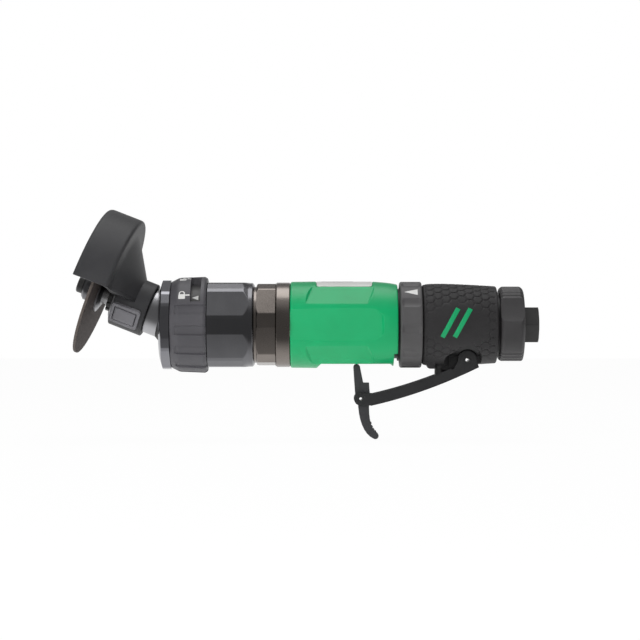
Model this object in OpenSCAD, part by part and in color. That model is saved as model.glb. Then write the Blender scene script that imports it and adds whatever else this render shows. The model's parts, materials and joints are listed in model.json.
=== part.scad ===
// Pneumatic cut off tool with a swivelling angle head, all lengths in millimetres.
// Origin: centre of the air inlet's mouth. +X points out of the inlet, +Z is up.
// The tool lies along -X, its head leans up, and the throttle lever hangs below.

/* [Air inlet] */
// Radius of the tapped bore for a quarter inch pipe thread
inlet_bore_r = 5.6; // [4.6:0.1:6.4]
// Depth of the tapped bore
inlet_bore_len = 12; // [9:0.5:16]
// Width across the flats of the inlet hexagon
inlet_af = 20; // [19:0.5:24]
// Length of the inlet hexagon
inlet_hex_len = 8.6; // [5:0.2:12]

/* [Exhaust ring] */
// Length of the turning exhaust ring
exhaust_len = 13.6; // [12:0.2:20]
// Outer radius of the exhaust ring over its lobes
exhaust_r = 22; // [21:0.1:24]
// Depth of the wide flutes between the lobes
exhaust_flute = 2.2; // [1:0.1:2.6]
// Number of lobes
exhaust_lobes = 3; // [3:1:6]
// Number of exhaust slots in the end wall
exhaust_slots = 6; // [4:1:8]

/* [Handle and grip] */
// Length of the rubber grip
grip_len = 42.6; // [40:0.2:60]
// Radius of the grip at its two ends
grip_r = 22.1; // [21.5:0.1:25]
// Extra radius at the grip's crown
grip_crown = 1.5; // [0.4:0.1:2]
// Radius of the handle core under the rubber
core_r = 18.5; // [18:0.1:20]
// Depth of the lip under the front of the grip, measured from the axis
lip_drop = 25.1; // [24.5:0.1:26]

/* [Regulator ring] */
// Length of the air regulator ring
regulator_len = 12.6; // [10:0.2:16]
// Outer radius of the regulator ring
regulator_r = 24.7; // [23.5:0.1:26]
// Depth of its flutes
regulator_flute = 0.9; // [0.4:0.1:1.4]
// Number of flutes, which leave a wide pad under the pointer
regulator_flutes = 10; // [6:1:14]

/* [Motor housing] */
// Length of the motor housing
housing_len = 61.2; // [58:0.2:75]
// Largest outer radius of the motor housing
housing_r = 24.9; // [24.2:0.1:27]
// Wall between the motor's bore and the largest radius
housing_wall = 5.5; // [5:0.1:6.5]
// Height of the flat panel on each side
panel_h = 18.6; // [12:0.2:20]
// Depth of the flat recess under the housing
recess_depth = 2.6; // [1.5:0.1:3]

/* [Air motor] */
// Length of the motor cylinder
liner_len = 30; // [24:0.5:32]
// Thickness of each end plate
plate_t = 6.5; // [6.2:0.1:8]
// Thinnest wall of the motor cylinder
cylinder_wall = 2.7; // [2:0.1:4]
// Sideways offset of the cylinder's bore from the rotor
bore_offset = 1.5; // [1:0.1:2]
// Number of vanes
vane_count = 5; // [4:1:6]

/* [Clamp nut] */
// Length of the round collar
nut_collar_len = 8.4; // [6:0.2:12]
// Length of the hexagon
nut_hex_len = 10.9; // [8:0.2:16]
// Radius of the round collar
nut_r = 24.3; // [23.5:0.1:26]
// Width across the flats of the hexagon
nut_af = 45.2; // [44:0.2:50]

/* [Swivel coupling] */
// Length of the coupling housing in front of the clamp nut
coupling_len = 26.5; // [24:0.5:36]
// Width across the flats of the coupling housing
coupling_af = 48.3; // [47.5:0.1:52]

/* [Lock ring] */
// Length of the lock ring
lock_len = 20.6; // [18:0.2:26]
// Largest radius of the lock ring
lock_r = 27.6; // [27:0.1:30]
// Radius of its front edge
lock_nose_r = 24.7; // [24.4:0.1:26]
// Depth of the recesses between its grip bars
lock_recess = 0.7; // [0.4:0.1:1.2]
// Angle between its grip bars
lock_pitch = 25.7; // [20:0.1:30]

/* [Angle head] */
// Angle of the spindle above the tool's axis
head_tilt = 21.5; // [15:0.5:24]
// Angle at which the head is set on its swivel, away from the viewer's side
head_roll = 6; // [0:1:30]
// Length of the hexagonal head base
base_len = 6.4; // [5:0.2:9]
// Radius of the neck
neck_r = 12.9; // [12.6:0.1:14]
// Distance of the head's nose from the bevel gears' apex
nose_s = 43.7; // [42:0.1:50]

/* [Bevel gears] */
// Number of teeth on each bevel gear
gear_teeth = 18; // [16:2:22]
// Outer pitch radius of each bevel gear
gear_r = 8.6; // [8:0.1:9]
// Face width of the teeth
gear_face = 3.3; // [2.5:0.1:3.8]

/* [Guard] */
// Outer radius of the half drum
guard_r = 46.5; // [44:0.5:52]
// Depth of the drum along the spindle
guard_depth = 21; // [18:0.5:26]
// Wall thickness
guard_wall = 2.2; // [1.6:0.1:3]
// Length of the collar that turns on the neck
collar_len = 19.8; // [18:0.2:20.4]
// Wall thickness of the collar
collar_wall = 3.6; // [3:0.1:4]

/* [Guard latch] */
// Length of the latch frame along the neck
latch_len = 17.3; // [15:0.1:18]
// Width of the latch frame
latch_w = 12.4; // [10:0.2:14]
// Travel of the latch button
latch_travel = 1.2; // [0.8:0.1:1.5]

/* [Cutting wheel] */
// Radius of the cutting wheel
wheel_r = 38; // [30:0.5:40]
// Thickness of the cutting wheel
wheel_t = 1.6; // [1:0.1:3]
// Radius of the wheel's bore
wheel_bore_r = 4.8; // [4.6:0.1:4.9]
// Radius of the inner flange
inner_flange_r = 12; // [9:0.5:14]
// Radius of the outer flange
outer_flange_r = 8; // [7:0.5:12]

/* [Throttle lever] */
// Distance of the lever's pivot in front of the rear end of the grip
pivot_back = 16.8; // [15:0.1:18]
// Depth of the pivot below the axis
pivot_drop = 20.1; // [19.5:0.1:21]
// Length of the lever from its pivot to the safety pin
lever_len = 60.9; // [58:0.1:66]
// Depth of the lever's side plates
lever_h = 6.6; // [6:0.1:8]
// Overall width of the lever
lever_w = 15.2; // [14.6:0.2:18]
// Thickness of the lever's sheet
lever_sheet = 1.8; // [1.4:0.1:1.9]
// Radius of the two spring pins
pin_r = 1.7; // [1.4:0.1:1.9]

/* [Hidden] */
// Clearances between pieces
run_gap = 0.05;
fit_gap = 0.03;
face_gap = 0.3;
// Smoothness of curves, and of the ones that are kept coarse
$fn = 64;
coarse_fn = 32;
// Reach of a cutting solid past the piece it cuts
past = 1;
far = 80;

// Stations along the tool, from the inlet towards the head
x_hex = -inlet_hex_len;
x_exhaust_r = x_hex - face_gap;
x_exhaust_f = x_exhaust_r - exhaust_len;
grip_groove = 1.6;
x_grip_r = x_exhaust_f - grip_groove;
x_grip_f = x_grip_r - grip_len;
x_regulator_r = x_grip_f - face_gap;
x_regulator_f = x_regulator_r - regulator_len;
sleeve_show = 1.2;
x_housing_r = x_regulator_f - sleeve_show;
x_housing_f = x_housing_r - housing_len;
x_nut_mid = x_housing_f - nut_collar_len;
x_nut_f = x_nut_mid - nut_hex_len;
nut_groove = 1.4;
x_coupling_r = x_nut_f - nut_groove;
x_coupling_f = x_coupling_r - coupling_len;
x_lock_r = x_coupling_f - face_gap;
x_lock_f = x_lock_r - lock_len;
x_base_r = x_lock_f - face_gap;
x_base_f = x_base_r - base_len;
// Apex of the bevel gears, where the spindle's axis crosses the tool's axis
apex_back = 8.3;
x_apex = x_base_r + apex_back;

// Handle: spigots, valve and lever lug
bush_wall = 3.4;
bush_r = inlet_bore_r + bush_wall;
bush_len = 6;
x_bush_f = x_grip_r - bush_len;
flow_r = 4.6;
exhaust_wall = 2.2;
rear_spigot_r = exhaust_r - exhaust_flute - exhaust_wall - 0.6;
rear_spigot_len = exhaust_len * 0.55;
sleeve_wall = 4;
sleeve_r = regulator_r - sleeve_wall;
front_spigot_len = 11.2;
x_spigot_f = x_housing_r - front_spigot_len;
motor_bore_r = housing_r - housing_wall;
spigot_r = motor_bore_r - fit_gap;
exhaust_hole_r = 2.2;
exhaust_hole_at = rear_spigot_r - exhaust_hole_r - 0.8;
exhaust_angles = [-20, 10, 40, 140, 170, 200];

// Lever, in distances from its pivot: u runs forward from the pivot, z runs up
pivot_x = x_grip_r - pivot_back;
pivot_z = -pivot_drop;
lever_low = -7.4;
lever_slope = -0.462;
lever_curve = 0.00218;
lever_tail = 6.7;
lever_ear_r = 5.4;
lever_eye_r = 3.8;
eye_rise = 5.15;
lever_press = 8;
plate_in = lever_w / 2 - lever_sheet;
lug_gap = 0.5;
lug_half = plate_in - lug_gap;
lug_r = 4.2;
ear_room = 0.8;
pocket_r = lever_ear_r + 2.6;
pocket_nose = [-9, -1];
pocket_nose_r = 4.5;
web_t = 1.6;
function lever_edge(u) = lever_low + lever_slope * u + lever_curve * u * u;
function lever_fall(u) = atan(-(lever_slope + 2 * lever_curve * u));
safety_x = pivot_x - lever_len;
safety_z = pivot_z + lever_edge(lever_len) + eye_rise;

// Throttle valve, upright in the handle
valve_ahead = 15.4;
valve_x = pivot_x - valve_ahead;
valve_r = 5;
plunger_r = 3;
boss_r = 7;
boss_drop = core_r + 4.9;
rib_drop = boss_drop + 2.6;
valve_base = -9.3;
spool_len = 6;
spool_neck = 6;
spool_top = 4;
spool_z = valve_base + face_gap;
spool_end = spool_z + spool_len + spool_neck + spool_top;
valve_spring_len = 6;
plug_z = spool_end + valve_spring_len;
plug_r = 6.4;
plug_len = core_r - plug_z - 1.2;
// The domed end of the plunger stands a face gap off the lever's web
web_fall = lever_fall(valve_ahead);
web_point = lever_edge(valve_ahead) + web_t / cos(web_fall);
tip_z = pivot_z + web_point + (plunger_r + face_gap) / cos(web_fall);

// Safety catch, in distances from its pin
catch_half = lug_half;
catch_top_r = 1.9;
recess_z = -(housing_r - recess_depth);
catch_lean = -2.2;
catch_top = recess_z - face_gap - safety_z - catch_top_r;
catch_turn = 78;

// Motor housing: its straight middle, and the label's seat as angles from +Y
shoulder_f = 15;
shoulder_r = 14.6;
x_waist_f = x_housing_f + shoulder_f;
x_waist_r = x_housing_r - shoulder_r;
label_depth = 0.6;
label_from = 63;
label_turn = 54;
label_edge = 1;

// Air motor
x_plate_r = x_spigot_f;
x_liner_r = x_plate_r - plate_t;
x_liner_f = x_liner_r - liner_len;
x_plate_f = x_liner_f - plate_t;
rotor_gap = 0.1;
rotor_r = motor_bore_r - cylinder_wall - 2 * bore_offset - rotor_gap;
liner_bore_r = rotor_r + bore_offset + rotor_gap;
rotor_end_gap = 0.2;
motor_shaft_r = 5;
motor_race_r = 11;
motor_race_w = 6;
nose_shaft_r = 4;
vane_t = 2;
slot_root = 1.5;
slot_room = 0.6;
slot_floor = motor_shaft_r + slot_root;
vane_depth = rotor_r - slot_floor - slot_room;

// Swivel coupling and pinion
nut_bore_r = 12;
nut_front_len = 8.6;
nut_front_r = motor_bore_r;
narrow_flat = 1.7;
nut_turn = -6.7;
nut_corner = 1.3;
coupling_corner = coupling_af / 2 + narrow_flat;
lock_bore_wall = 2;
lock_bore_r = lock_nose_r - lock_bore_wall;
coupling_spigot_r = lock_bore_r - run_gap;
socket_wall = 3.6;
socket_r = coupling_spigot_r - socket_wall;
swivel_len = 13.4;
x_socket = x_base_r + swivel_len + face_gap;
race_r = 8;
race_w = 5;
race_shaft_r = 4;
race_shoulder_r = 6.4;
seat_step = 2.4;
x_race_1 = x_socket + seat_step;
race_spread = 11;
x_race_2 = x_race_1 + race_w + race_spread;
x_nut_seat = x_nut_f - nut_front_len - face_gap;
lock_ball_r = 2.1;
lock_ball_count = 6;
lock_ball_at = lock_bore_r - face_gap - lock_ball_r;
x_lock_ball = x_base_r + 7;
ball_groove_r = lock_ball_r + face_gap;
// Seal of the swivel: wire radius, groove and station
swivel_wire = 0.8;
swivel_groove = 2 * swivel_wire + 0.2;
x_swivel_seal = x_base_r + swivel_len - 2;

// Bevel gears
pitch_angle = (180 - head_tilt) / 2;
cone_len = gear_r / sin(pitch_angle);
addendum = 0.85;
dedendum = 1.15;
tooth_half = PI * gear_r / gear_teeth / 2 - 0.13;
tooth_slope = tan(20);
gear_bore_r = 3.5;
gear_room = 0.4;
gear_back = x_socket - x_apex - gear_room;
gear_hub_r = 6;
gear_hub_end = 7.6;

// Spindle, in distances along its own axis from the apex
shaft_end = 1.9;
spindle_race_1 = 9;
spindle_front_r = 5;
spindle_race_r = 9.5;
spindle_race_w = 5;
head_bore_r = spindle_race_r + fit_gap;
retainer_in = 2.6;
retainer_out = 2.8;
spindle_race_2 = nose_s - retainer_in - spindle_race_w;
nose_collar_r = 6;
collar_s = nose_s + retainer_out + face_gap;
flange_s = nose_s + 6.6;
inner_flange_t = 2.4;
wheel_s = flange_s + inner_flange_t;
outer_flange_s = wheel_s + wheel_t;
outer_flange_t = 8.2;
screw_s = outer_flange_s + outer_flange_t;
arbor_r = wheel_bore_r - run_gap;
arbor_end = outer_flange_s + 2.6;
screw_r = 2.5;
screw_head_r = 5.3;
screw_head_t = 4;
screw_depth = 16;
gear_space_r = gear_r + 1.8;

// Guard and latch
nose_lip = 1.5;
collar_s0 = nose_s - nose_lip - collar_len;
collar_r0 = neck_r - 0.9;
collar_r1 = collar_r0 + collar_wall;
collar_end = collar_s0 + collar_len;
cone_s0 = collar_s0 + 7.9;
cone_r = guard_r - 9.6;
rear_round = 1.4;
front_round = 3;
guard_front = nose_s + guard_depth;
circlip_w = 0.8;
latch_angle = 234;
latch_s = collar_s0 + 11;
latch_out = collar_r1 + 0.9;
latch_rim = 2;
latch_plate_t = 2;
latch_lift = 0.5;
latch_stem_r = 2.4;

// Frames: tool axis, head axis and lever plane

// Local x is Y, local y is Z and local z is X
module along_x() {
    rotate([90, 0, 90]) children();
}

// Local z runs along the spindle from the gears' apex, local x points to the leaning side
module head_frame() {
    translate([x_apex, 0, 0]) rotate([-head_roll, 0, 0]) rotate([0, head_tilt - 90, 0]) children();
}

// Local x runs forward from the lever's pivot, local y runs up, the extrusion is centred across the tool
module lever_plane(width) {
    translate([pivot_x, 0, pivot_z])
        rotate([90, 0, 180])
            linear_extrude(height = width, center = true) children();
}

// Local x runs to the rear and local y up from the safety pin
module catch_plane(width) {
    translate([safety_x, 0, safety_z])
        rotate([90, 0, 0])
            linear_extrude(height = width, center = true) children();
}

// Shapes that repeat

// Ring along z from z0 to z1
module ring_z(r_out, r_in, z0, z1) {
    translate([0, 0, z0]) difference() {
        cylinder(r = r_out, h = z1 - z0);
        translate([0, 0, -past]) cylinder(r = r_in, h = z1 - z0 + 2 * past);
    }
}

module rod_z(r, z0, z1) {
    translate([0, 0, z0]) cylinder(r = r, h = z1 - z0);
}

// Hexagon of a given half width with its corners cut by a second, turned hexagon
module cut_hexagon(half, corner) {
    intersection() {
        circle(r = half / cos(30), $fn = 6);
        rotate(30) circle(r = corner / cos(30), $fn = 6);
    }
}

// Round disc with shallow round flutes
module fluted(r, depth, count, cutter, first) {
    difference() {
        circle(r = r);
        for (i = [0 : count - 1])
            rotate(first + i * 360 / count) translate([r - depth + cutter, 0]) circle(r = cutter);
    }
}

// Revolved envelope with a chamfer at both ends
module chamfered(r, z0, z1, cut) {
    rotate_extrude()
        polygon([[0, z0], [r - cut, z0], [r, z0 + cut], [r, z1 - cut], [r - cut, z1], [0, z1]]);
}

// Ball bearing: the outer race with its balls, and the inner race
function ball_line(r_in, r_out) = (r_in + r_out) / 2;
function ball_size(r_in, r_out) = (r_out - r_in) * 0.27;

module outer_race(r_in, r_out, z0, w) {
    mid = ball_line(r_in, r_out);
    ball = ball_size(r_in, r_out);
    rotate_extrude() difference() {
        translate([mid + ball * 0.55, z0]) square([r_out - mid - ball * 0.55, w]);
        translate([mid, z0 + w / 2]) circle(r = ball + run_gap);
    }
    balls = floor(PI * mid / ball * 0.8);
    for (i = [0 : balls - 1])
        rotate(i * 360 / balls) translate([mid, 0, z0 + w / 2]) sphere(r = ball);
}

module inner_race(r_in, r_out, z0, w) {
    mid = ball_line(r_in, r_out);
    ball = ball_size(r_in, r_out);
    rotate_extrude() difference() {
        translate([r_in, z0]) square([mid - ball * 0.55 - r_in, w]);
        translate([mid, z0 + w / 2]) circle(r = ball + run_gap);
    }
}

// Helical wire: one closed tube of six sides along z
module coil(r, wire, z0, z1, turns) {
    rings = 8 * turns;
    sides = 6;
    rise = (z1 - z0 - 2 * wire) / rings;
    slant = atan(rise * rings / turns / (2 * PI * r));
    points = [for (i = [0 : rings]) for (j = [0 : sides - 1])
        let (a = i * 45, b = j * 360 / sides, out = r + wire * cos(b), side = wire * sin(b))
        [out * cos(a) + side * sin(slant) * sin(a),
         out * sin(a) - side * sin(slant) * cos(a),
         z0 + wire + i * rise + side * cos(slant)]];
    skin = [for (i = [0 : rings - 1]) for (j = [0 : sides - 1])
        let (k = i * sides, n = (j + 1) % sides)
        each [[k + j, k + sides + j, k + n], [k + n, k + sides + j, k + sides + n]]];
    first = [for (j = [1 : sides - 2]) [0, j, j + 1]];
    last_ring = rings * sides;
    last = [for (j = [1 : sides - 2]) [last_ring, last_ring + j + 1, last_ring + j]];
    polyhedron(points = points, faces = concat(skin, first, last));
    echo(coil_gap = (z1 - z0 - 2 * wire) / turns * cos(slant) - 2 * wire);
}

// Bevel gear with its apex at the origin and its back towards +z
module bevel(phase) {
    inner = cone_len - gear_face;
    foot = dedendum + 0.3;
    // Point of the gear's axial plane at a cone distance and a height over the pitch cone
    function cone_point(len, h) = [len * sin(pitch_angle) + h * cos(pitch_angle),
                                   len * cos(pitch_angle) - h * sin(pitch_angle)];
    root_out = cone_point(cone_len, -dedendum);
    root_in = cone_point(inner, -dedendum * inner / cone_len);
    rotate_extrude()
        polygon([[gear_bore_r, root_in[1]], root_in, root_out, [root_out[0], gear_back],
                 [gear_hub_r, gear_back], [gear_hub_r, gear_hub_end], [gear_bore_r, gear_hub_end]]);
    function half_width(h) = tooth_half - h * tooth_slope;
    function corner(len, h, side) =
        let (k = len / cone_len, p = cone_point(len, h * k))
        [p[0], side * half_width(h) * k, p[1]];
    points = [for (len = [inner, cone_len]) for (c = [[-foot, -1], [-foot, 1], [addendum, 1], [addendum, -1]])
        corner(len, c[0], c[1])];
    faces = [[0, 2, 1], [0, 3, 2], [4, 5, 6], [4, 6, 7], [0, 5, 4], [0, 1, 5],
             [1, 6, 5], [1, 2, 6], [2, 7, 6], [2, 3, 7], [3, 4, 7], [3, 0, 4]];
    for (i = [0 : gear_teeth - 1])
        rotate(phase + i * 360 / gear_teeth) polyhedron(points = points, faces = faces);
}

// Hollow spring pin across the tool, slit along its side
module spring_pin(x, z, half) {
    slit = 0.6;
    translate([x, 0, z]) rotate([90, 0, 0]) difference() {
        ring_z(pin_r, pin_r * 0.62, -half, half);
        translate([0, -slit / 2, -half - past]) cube([pin_r + past, slit, 2 * (half + past)]);
    }
}

// Pieces at the air inlet

module inlet_bushing() {
    corner_r = inlet_af / 2 / cos(30);
    color([0.1, 0.1, 0.11]) along_x() difference() {
        union() {
            intersection() {
                translate([0, 0, x_hex]) cylinder(r = corner_r, h = inlet_hex_len, $fn = 6);
                chamfered(corner_r + 0.4, x_hex - 0.9, 0, 0.9);
            }
            rod_z(bush_r, x_bush_f, x_hex);
        }
        rod_z(inlet_bore_r, -inlet_bore_len, past);
        rod_z(flow_r, x_bush_f - past, past);
    }
}

module inlet_screen() {
    screen_t = 0.8;
    hole_r = 0.8;
    x0 = -inlet_bore_len - 4;
    color("silver") along_x() difference() {
        rod_z(flow_r - fit_gap, x0, x0 + screen_t);
        rod_z(hole_r, x0 - past, x0 + screen_t + past);
        for (i = [0 : 5])
            rotate(i * 60) translate([flow_r * 0.55, 0, 0]) rod_z(hole_r, x0 - past, x0 + screen_t + past);
    }
}

// O ring between the bushing's front end and the bottom of its bore
module inlet_seal() {
    wire = 0.8;
    color([0.06, 0.06, 0.06]) along_x()
        rotate_extrude() translate([bush_r - wire - 0.6, x_bush_f - wire - fit_gap]) circle(r = wire);
}

// Pieces that turn round the handle

module exhaust_ring() {
    cavity_r = rear_spigot_r + run_gap;
    slot_in = bush_r + 1.6;
    slot_out = cavity_r - 1.2;
    color([0.2, 0.2, 0.21]) along_x() difference() {
        intersection() {
            translate([0, 0, x_exhaust_f]) linear_extrude(height = exhaust_len)
                fluted(exhaust_r, exhaust_flute, exhaust_lobes, exhaust_r * 2, 154);
            chamfered(exhaust_r + 0.5, x_exhaust_f, x_exhaust_r, 1.6);
        }
        rod_z(cavity_r, x_exhaust_f - past, x_exhaust_r - exhaust_wall);
        rod_z(bush_r + run_gap, x_exhaust_f, x_exhaust_r + past);
        for (i = [0 : exhaust_slots - 1])
            rotate(i * 360 / exhaust_slots - 16) translate([0, 0, x_exhaust_r - exhaust_wall - past])
                rotate_extrude(angle = 32) translate([slot_in, 0])
                    square([slot_out - slot_in, exhaust_wall + 2 * past]);
    }
}

module exhaust_felt() {
    x0 = x_grip_r + rear_spigot_len + face_gap;
    color([0.35, 0.33, 0.28]) along_x()
        ring_z(rear_spigot_r - 0.4, bush_r + 0.4, x0, x_exhaust_r - exhaust_wall - 0.1);
}

module regulator_ring() {
    pointer_angle = 131;
    flute_cutter = 6;
    first = pointer_angle + 180 / regulator_flutes;
    color([0.24, 0.24, 0.25]) along_x() difference() {
        intersection() {
            translate([0, 0, x_regulator_f]) linear_extrude(height = regulator_len)
                fluted(regulator_r, regulator_flute, regulator_flutes, flute_cutter, first);
            chamfered(regulator_r + 0.2, x_regulator_f, x_regulator_r, 1);
        }
        rod_z(sleeve_r + run_gap, x_regulator_f - past, x_regulator_r + past);
    }
}

// O ring in a groove of the sleeve that gives the regulator ring its drag
module regulator_seal() {
    wire = 0.9;
    color([0.06, 0.06, 0.06]) along_x() rotate_extrude()
        translate([sleeve_r - wire - fit_gap, (x_regulator_f + x_regulator_r) / 2]) circle(r = wire);
}

// Handle, valve and lever

module handle_body() {
    seal_w = 2.2;
    seal_depth = 2;
    x_mid = (x_regulator_f + x_regulator_r) / 2;
    color([0.16, 0.16, 0.17]) difference() {
        union() {
            along_x() {
                rod_z(spigot_r, x_spigot_f, x_housing_r);
                rod_z(sleeve_r, x_housing_r, x_grip_f);
                rod_z(core_r, x_grip_f, x_grip_r);
                rod_z(rear_spigot_r, x_grip_r, x_grip_r + rear_spigot_len);
            }
            translate([valve_x, 0, -boss_drop]) cylinder(r = boss_r, h = boss_drop);
            translate([pivot_x, 0, pivot_z]) rotate([90, 0, 0])
                cylinder(r = lug_r, h = 2 * lug_half, center = true);
            translate([pivot_x - lug_r, -lug_half, pivot_z]) cube([2 * lug_r, 2 * lug_half, pivot_drop]);
            // Rib between the valve's boss and the lug
            translate([valve_x, 0.4 - lug_half, -rib_drop])
                cube([pivot_x - lug_r + 1 - valve_x, 2 * lug_half - 0.8, rib_drop]);
        }
        along_x() {
            rod_z(bush_r + fit_gap, x_bush_f - 2, x_grip_r + rear_spigot_len + past);
            rod_z(flow_r, valve_x, x_bush_f);
            translate([0, spool_z + spool_len, 0]) rod_z(flow_r * 0.7, x_spigot_f - past, valve_x);
            for (a = exhaust_angles)
                rotate(a) translate([exhaust_hole_at, 0, 0])
                    rod_z(exhaust_hole_r, x_spigot_f - past, x_grip_r + rear_spigot_len + past);
            translate([0, 0, x_mid - seal_w / 2]) difference() {
                cylinder(r = sleeve_r + past, h = seal_w);
                translate([0, 0, -past]) cylinder(r = sleeve_r - seal_depth, h = seal_w + 2 * past);
            }
        }
        translate([valve_x, 0, 0]) {
            rod_z(valve_r, -rib_drop - past, plug_z + past);
            rod_z(plug_r + fit_gap, plug_z, core_r + past);
        }
        translate([pivot_x, 0, pivot_z]) rotate([90, 0, 0])
            cylinder(r = pin_r + fit_gap, h = lever_w, center = true);
        // Room for the lever's ears beside the lug
        for (side = [-1, 1])
            translate([pivot_x, side * (lug_half + far / 2), pivot_z]) rotate([90, 0, 0])
                cylinder(r = lever_ear_r + ear_room, h = far, center = true);
    }
}

module rubber_grip() {
    steps = 12;
    edge = 0.8;
    // Crown of the grip: a parabola over its length, drawn towards the front
    peak = 0.46;
    function crown(t) = grip_r + 4 * grip_crown * pow(t, peak) * (1 - pow(t, peak));
    skin = [for (i = [0 : steps]) let (t = i / steps) [crown(t), x_grip_f + edge + t * (grip_len - 2 * edge)]];
    outline = concat([[core_r + fit_gap, x_grip_f], [grip_r - edge, x_grip_f]], skin,
                     [[grip_r - edge, x_grip_r], [core_r + fit_gap, x_grip_r]]);
    lip_front = 1.6;
    lip_back = valve_x - plunger_r - face_gap;
    lip_half = 9;
    // Sides of the ear pocket, between its round back and its smaller round nose
    spread = acos((pocket_r - pocket_nose_r) / norm(pocket_nose));
    toward = atan2(pocket_nose[1], pocket_nose[0]);
    function rim(a, r) = (r - 0.1) * [cos(a), sin(a)];
    pocket_sides = [rim(toward - spread, pocket_r), pocket_nose + rim(toward - spread, pocket_nose_r),
                    pocket_nose + rim(toward + spread, pocket_nose_r), rim(toward + spread, pocket_r)];
    color([0.09, 0.09, 0.1]) difference() {
        union() {
            along_x() rotate_extrude() polygon(outline);
            rotate([90, 0, 0]) linear_extrude(height = 2 * lip_half, center = true)
                polygon([[x_grip_f + lip_front, -core_r - 1], [x_grip_f + lip_front, -grip_r + 1],
                         [x_grip_f + lip_front + 2.4, -lip_drop], [lip_back, -lip_drop],
                         [lip_back, -core_r - 1]]);
        }
        along_x() rod_z(core_r + fit_gap, x_grip_f - past, x_grip_r + past);
        translate([valve_x, 0, -far]) cylinder(r = boss_r + fit_gap, h = far);
        // Pocket on each side for the lever's ear, drawn out towards the valve
        for (side = [-1, 1])
            translate([pivot_x, side * (lug_half + far / 2), pivot_z]) rotate([90, 0, 0]) {
                cylinder(r = pocket_r, h = far, center = true);
                translate(pocket_nose) cylinder(r = pocket_nose_r, h = far, center = true);
                linear_extrude(height = far, center = true) polygon(pocket_sides);
            }
        translate([valve_x, -lug_half - 0.3, -far])
            cube([pivot_x + lug_r + 0.3 - valve_x, 2 * lug_half + 0.6, far]);
    }
}

module valve_bushing() {
    rim = 1.6;
    color([0.72, 0.58, 0.3]) translate([valve_x, 0, 0])
        ring_z(valve_r - fit_gap, plunger_r + run_gap, -boss_drop - rim, valve_base);
}

module valve_plug() {
    socket_af = 5;
    color("silver") translate([valve_x, 0, 0]) difference() {
        rod_z(plug_r, plug_z, plug_z + plug_len);
        translate([0, 0, plug_z + plug_len - 1.6]) cylinder(r = socket_af / 2 / cos(30), h = 2, $fn = 6);
    }
}

module valve_spring() {
    color("silver") translate([valve_x, 0, 0])
        coil(3.6, 0.4, spool_end + fit_gap, plug_z - fit_gap, 4);
}

module throttle_plunger() {
    spool_r = valve_r - run_gap;
    neck = 2.4;
    groove = 0.9;
    color("silver") translate([valve_x, 0, 0]) difference() {
        union() {
            translate([0, 0, tip_z]) sphere(r = plunger_r);
            rod_z(plunger_r, tip_z, spool_z);
            rod_z(spool_r, spool_z, spool_z + spool_len);
            rod_z(neck, spool_z + spool_len, spool_end - spool_top);
            rod_z(spool_r, spool_end - spool_top, spool_end);
        }
        for (z = [spool_z + spool_len / 2, spool_end - spool_top / 2])
            ring_z(spool_r + past, spool_r - groove - 0.3, z - groove, z + groove);
    }
}

module plunger_seals() {
    wire = 0.6;
    color([0.06, 0.06, 0.06]) translate([valve_x, 0, 0])
        for (z = [spool_z + spool_len / 2, spool_end - spool_top / 2])
            rotate_extrude() translate([valve_r - run_gap - wire, z]) circle(r = wire);
}

module lever_pin() {
    color([0.5, 0.5, 0.52]) spring_pin(pivot_x, pivot_z, lever_w / 2);
}

// Strip along the lever between two heights over its lower edge
function lever_strip(u0, u1, h0, h1) =
    let (steps = 10, us = [for (i = [0 : steps]) u0 + (u1 - u0) * i / steps])
    concat([for (u = us) [u, lever_edge(u) + h0]],
           [for (i = [steps : -1 : 0]) [us[i], lever_edge(us[i]) + h1]]);

module throttle_lever() {
    plate_start = 9;
    web_back = 3;
    web_stop = lever_len - 12;
    eye = [lever_len, lever_edge(lever_len) + eye_rise];
    tip_u = lever_len - lever_eye_r - 2;
    tip_low = [tip_u - 1, lever_edge(tip_u - 1)];
    color([0.09, 0.09, 0.1]) difference() {
        union() {
            difference() {
                union() {
                    lever_plane(lever_w) polygon(lever_strip(plate_start, tip_u, 0, lever_h));
                    lever_plane(lever_w) polygon([tip_low, eye - [0, lever_eye_r], eye + [0, lever_eye_r],
                                                  tip_low + [0, lever_h]]);
                    lever_plane(lever_w) translate(eye) circle(r = lever_eye_r);
                    lever_plane(lever_w) circle(r = lever_ear_r);
                    lever_plane(lever_w)
                        polygon([[-lever_ear_r, 0], [-lever_tail, lever_edge(-lever_tail)],
                                 [0, lever_edge(0)], [plate_start + 2, lever_edge(plate_start + 2)],
                                 [plate_start + 2, lever_edge(plate_start + 2) + lever_h - 0.2],
                                 [plate_start - 1.2, lever_edge(plate_start) + lever_h - 0.4],
                                 [lever_ear_r - 0.4, 0]]);
                }
                lever_plane(2 * plate_in) square(far * 2, center = true);
            }
            lever_plane(lever_w - 1) polygon(lever_strip(-web_back, web_stop, 0, web_t));
        }
        lever_plane(lever_w + past) circle(r = pin_r + run_gap);
        lever_plane(lever_w + past) translate(eye) circle(r = pin_r * 0.8 + fit_gap);
    }
}

module safety_pin() {
    color([0.5, 0.5, 0.52]) translate([safety_x, 0, safety_z]) rotate([90, 0, 0])
        ring_z(pin_r * 0.8, pin_r * 0.52, -lever_w / 2, lever_w / 2);
}

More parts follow.
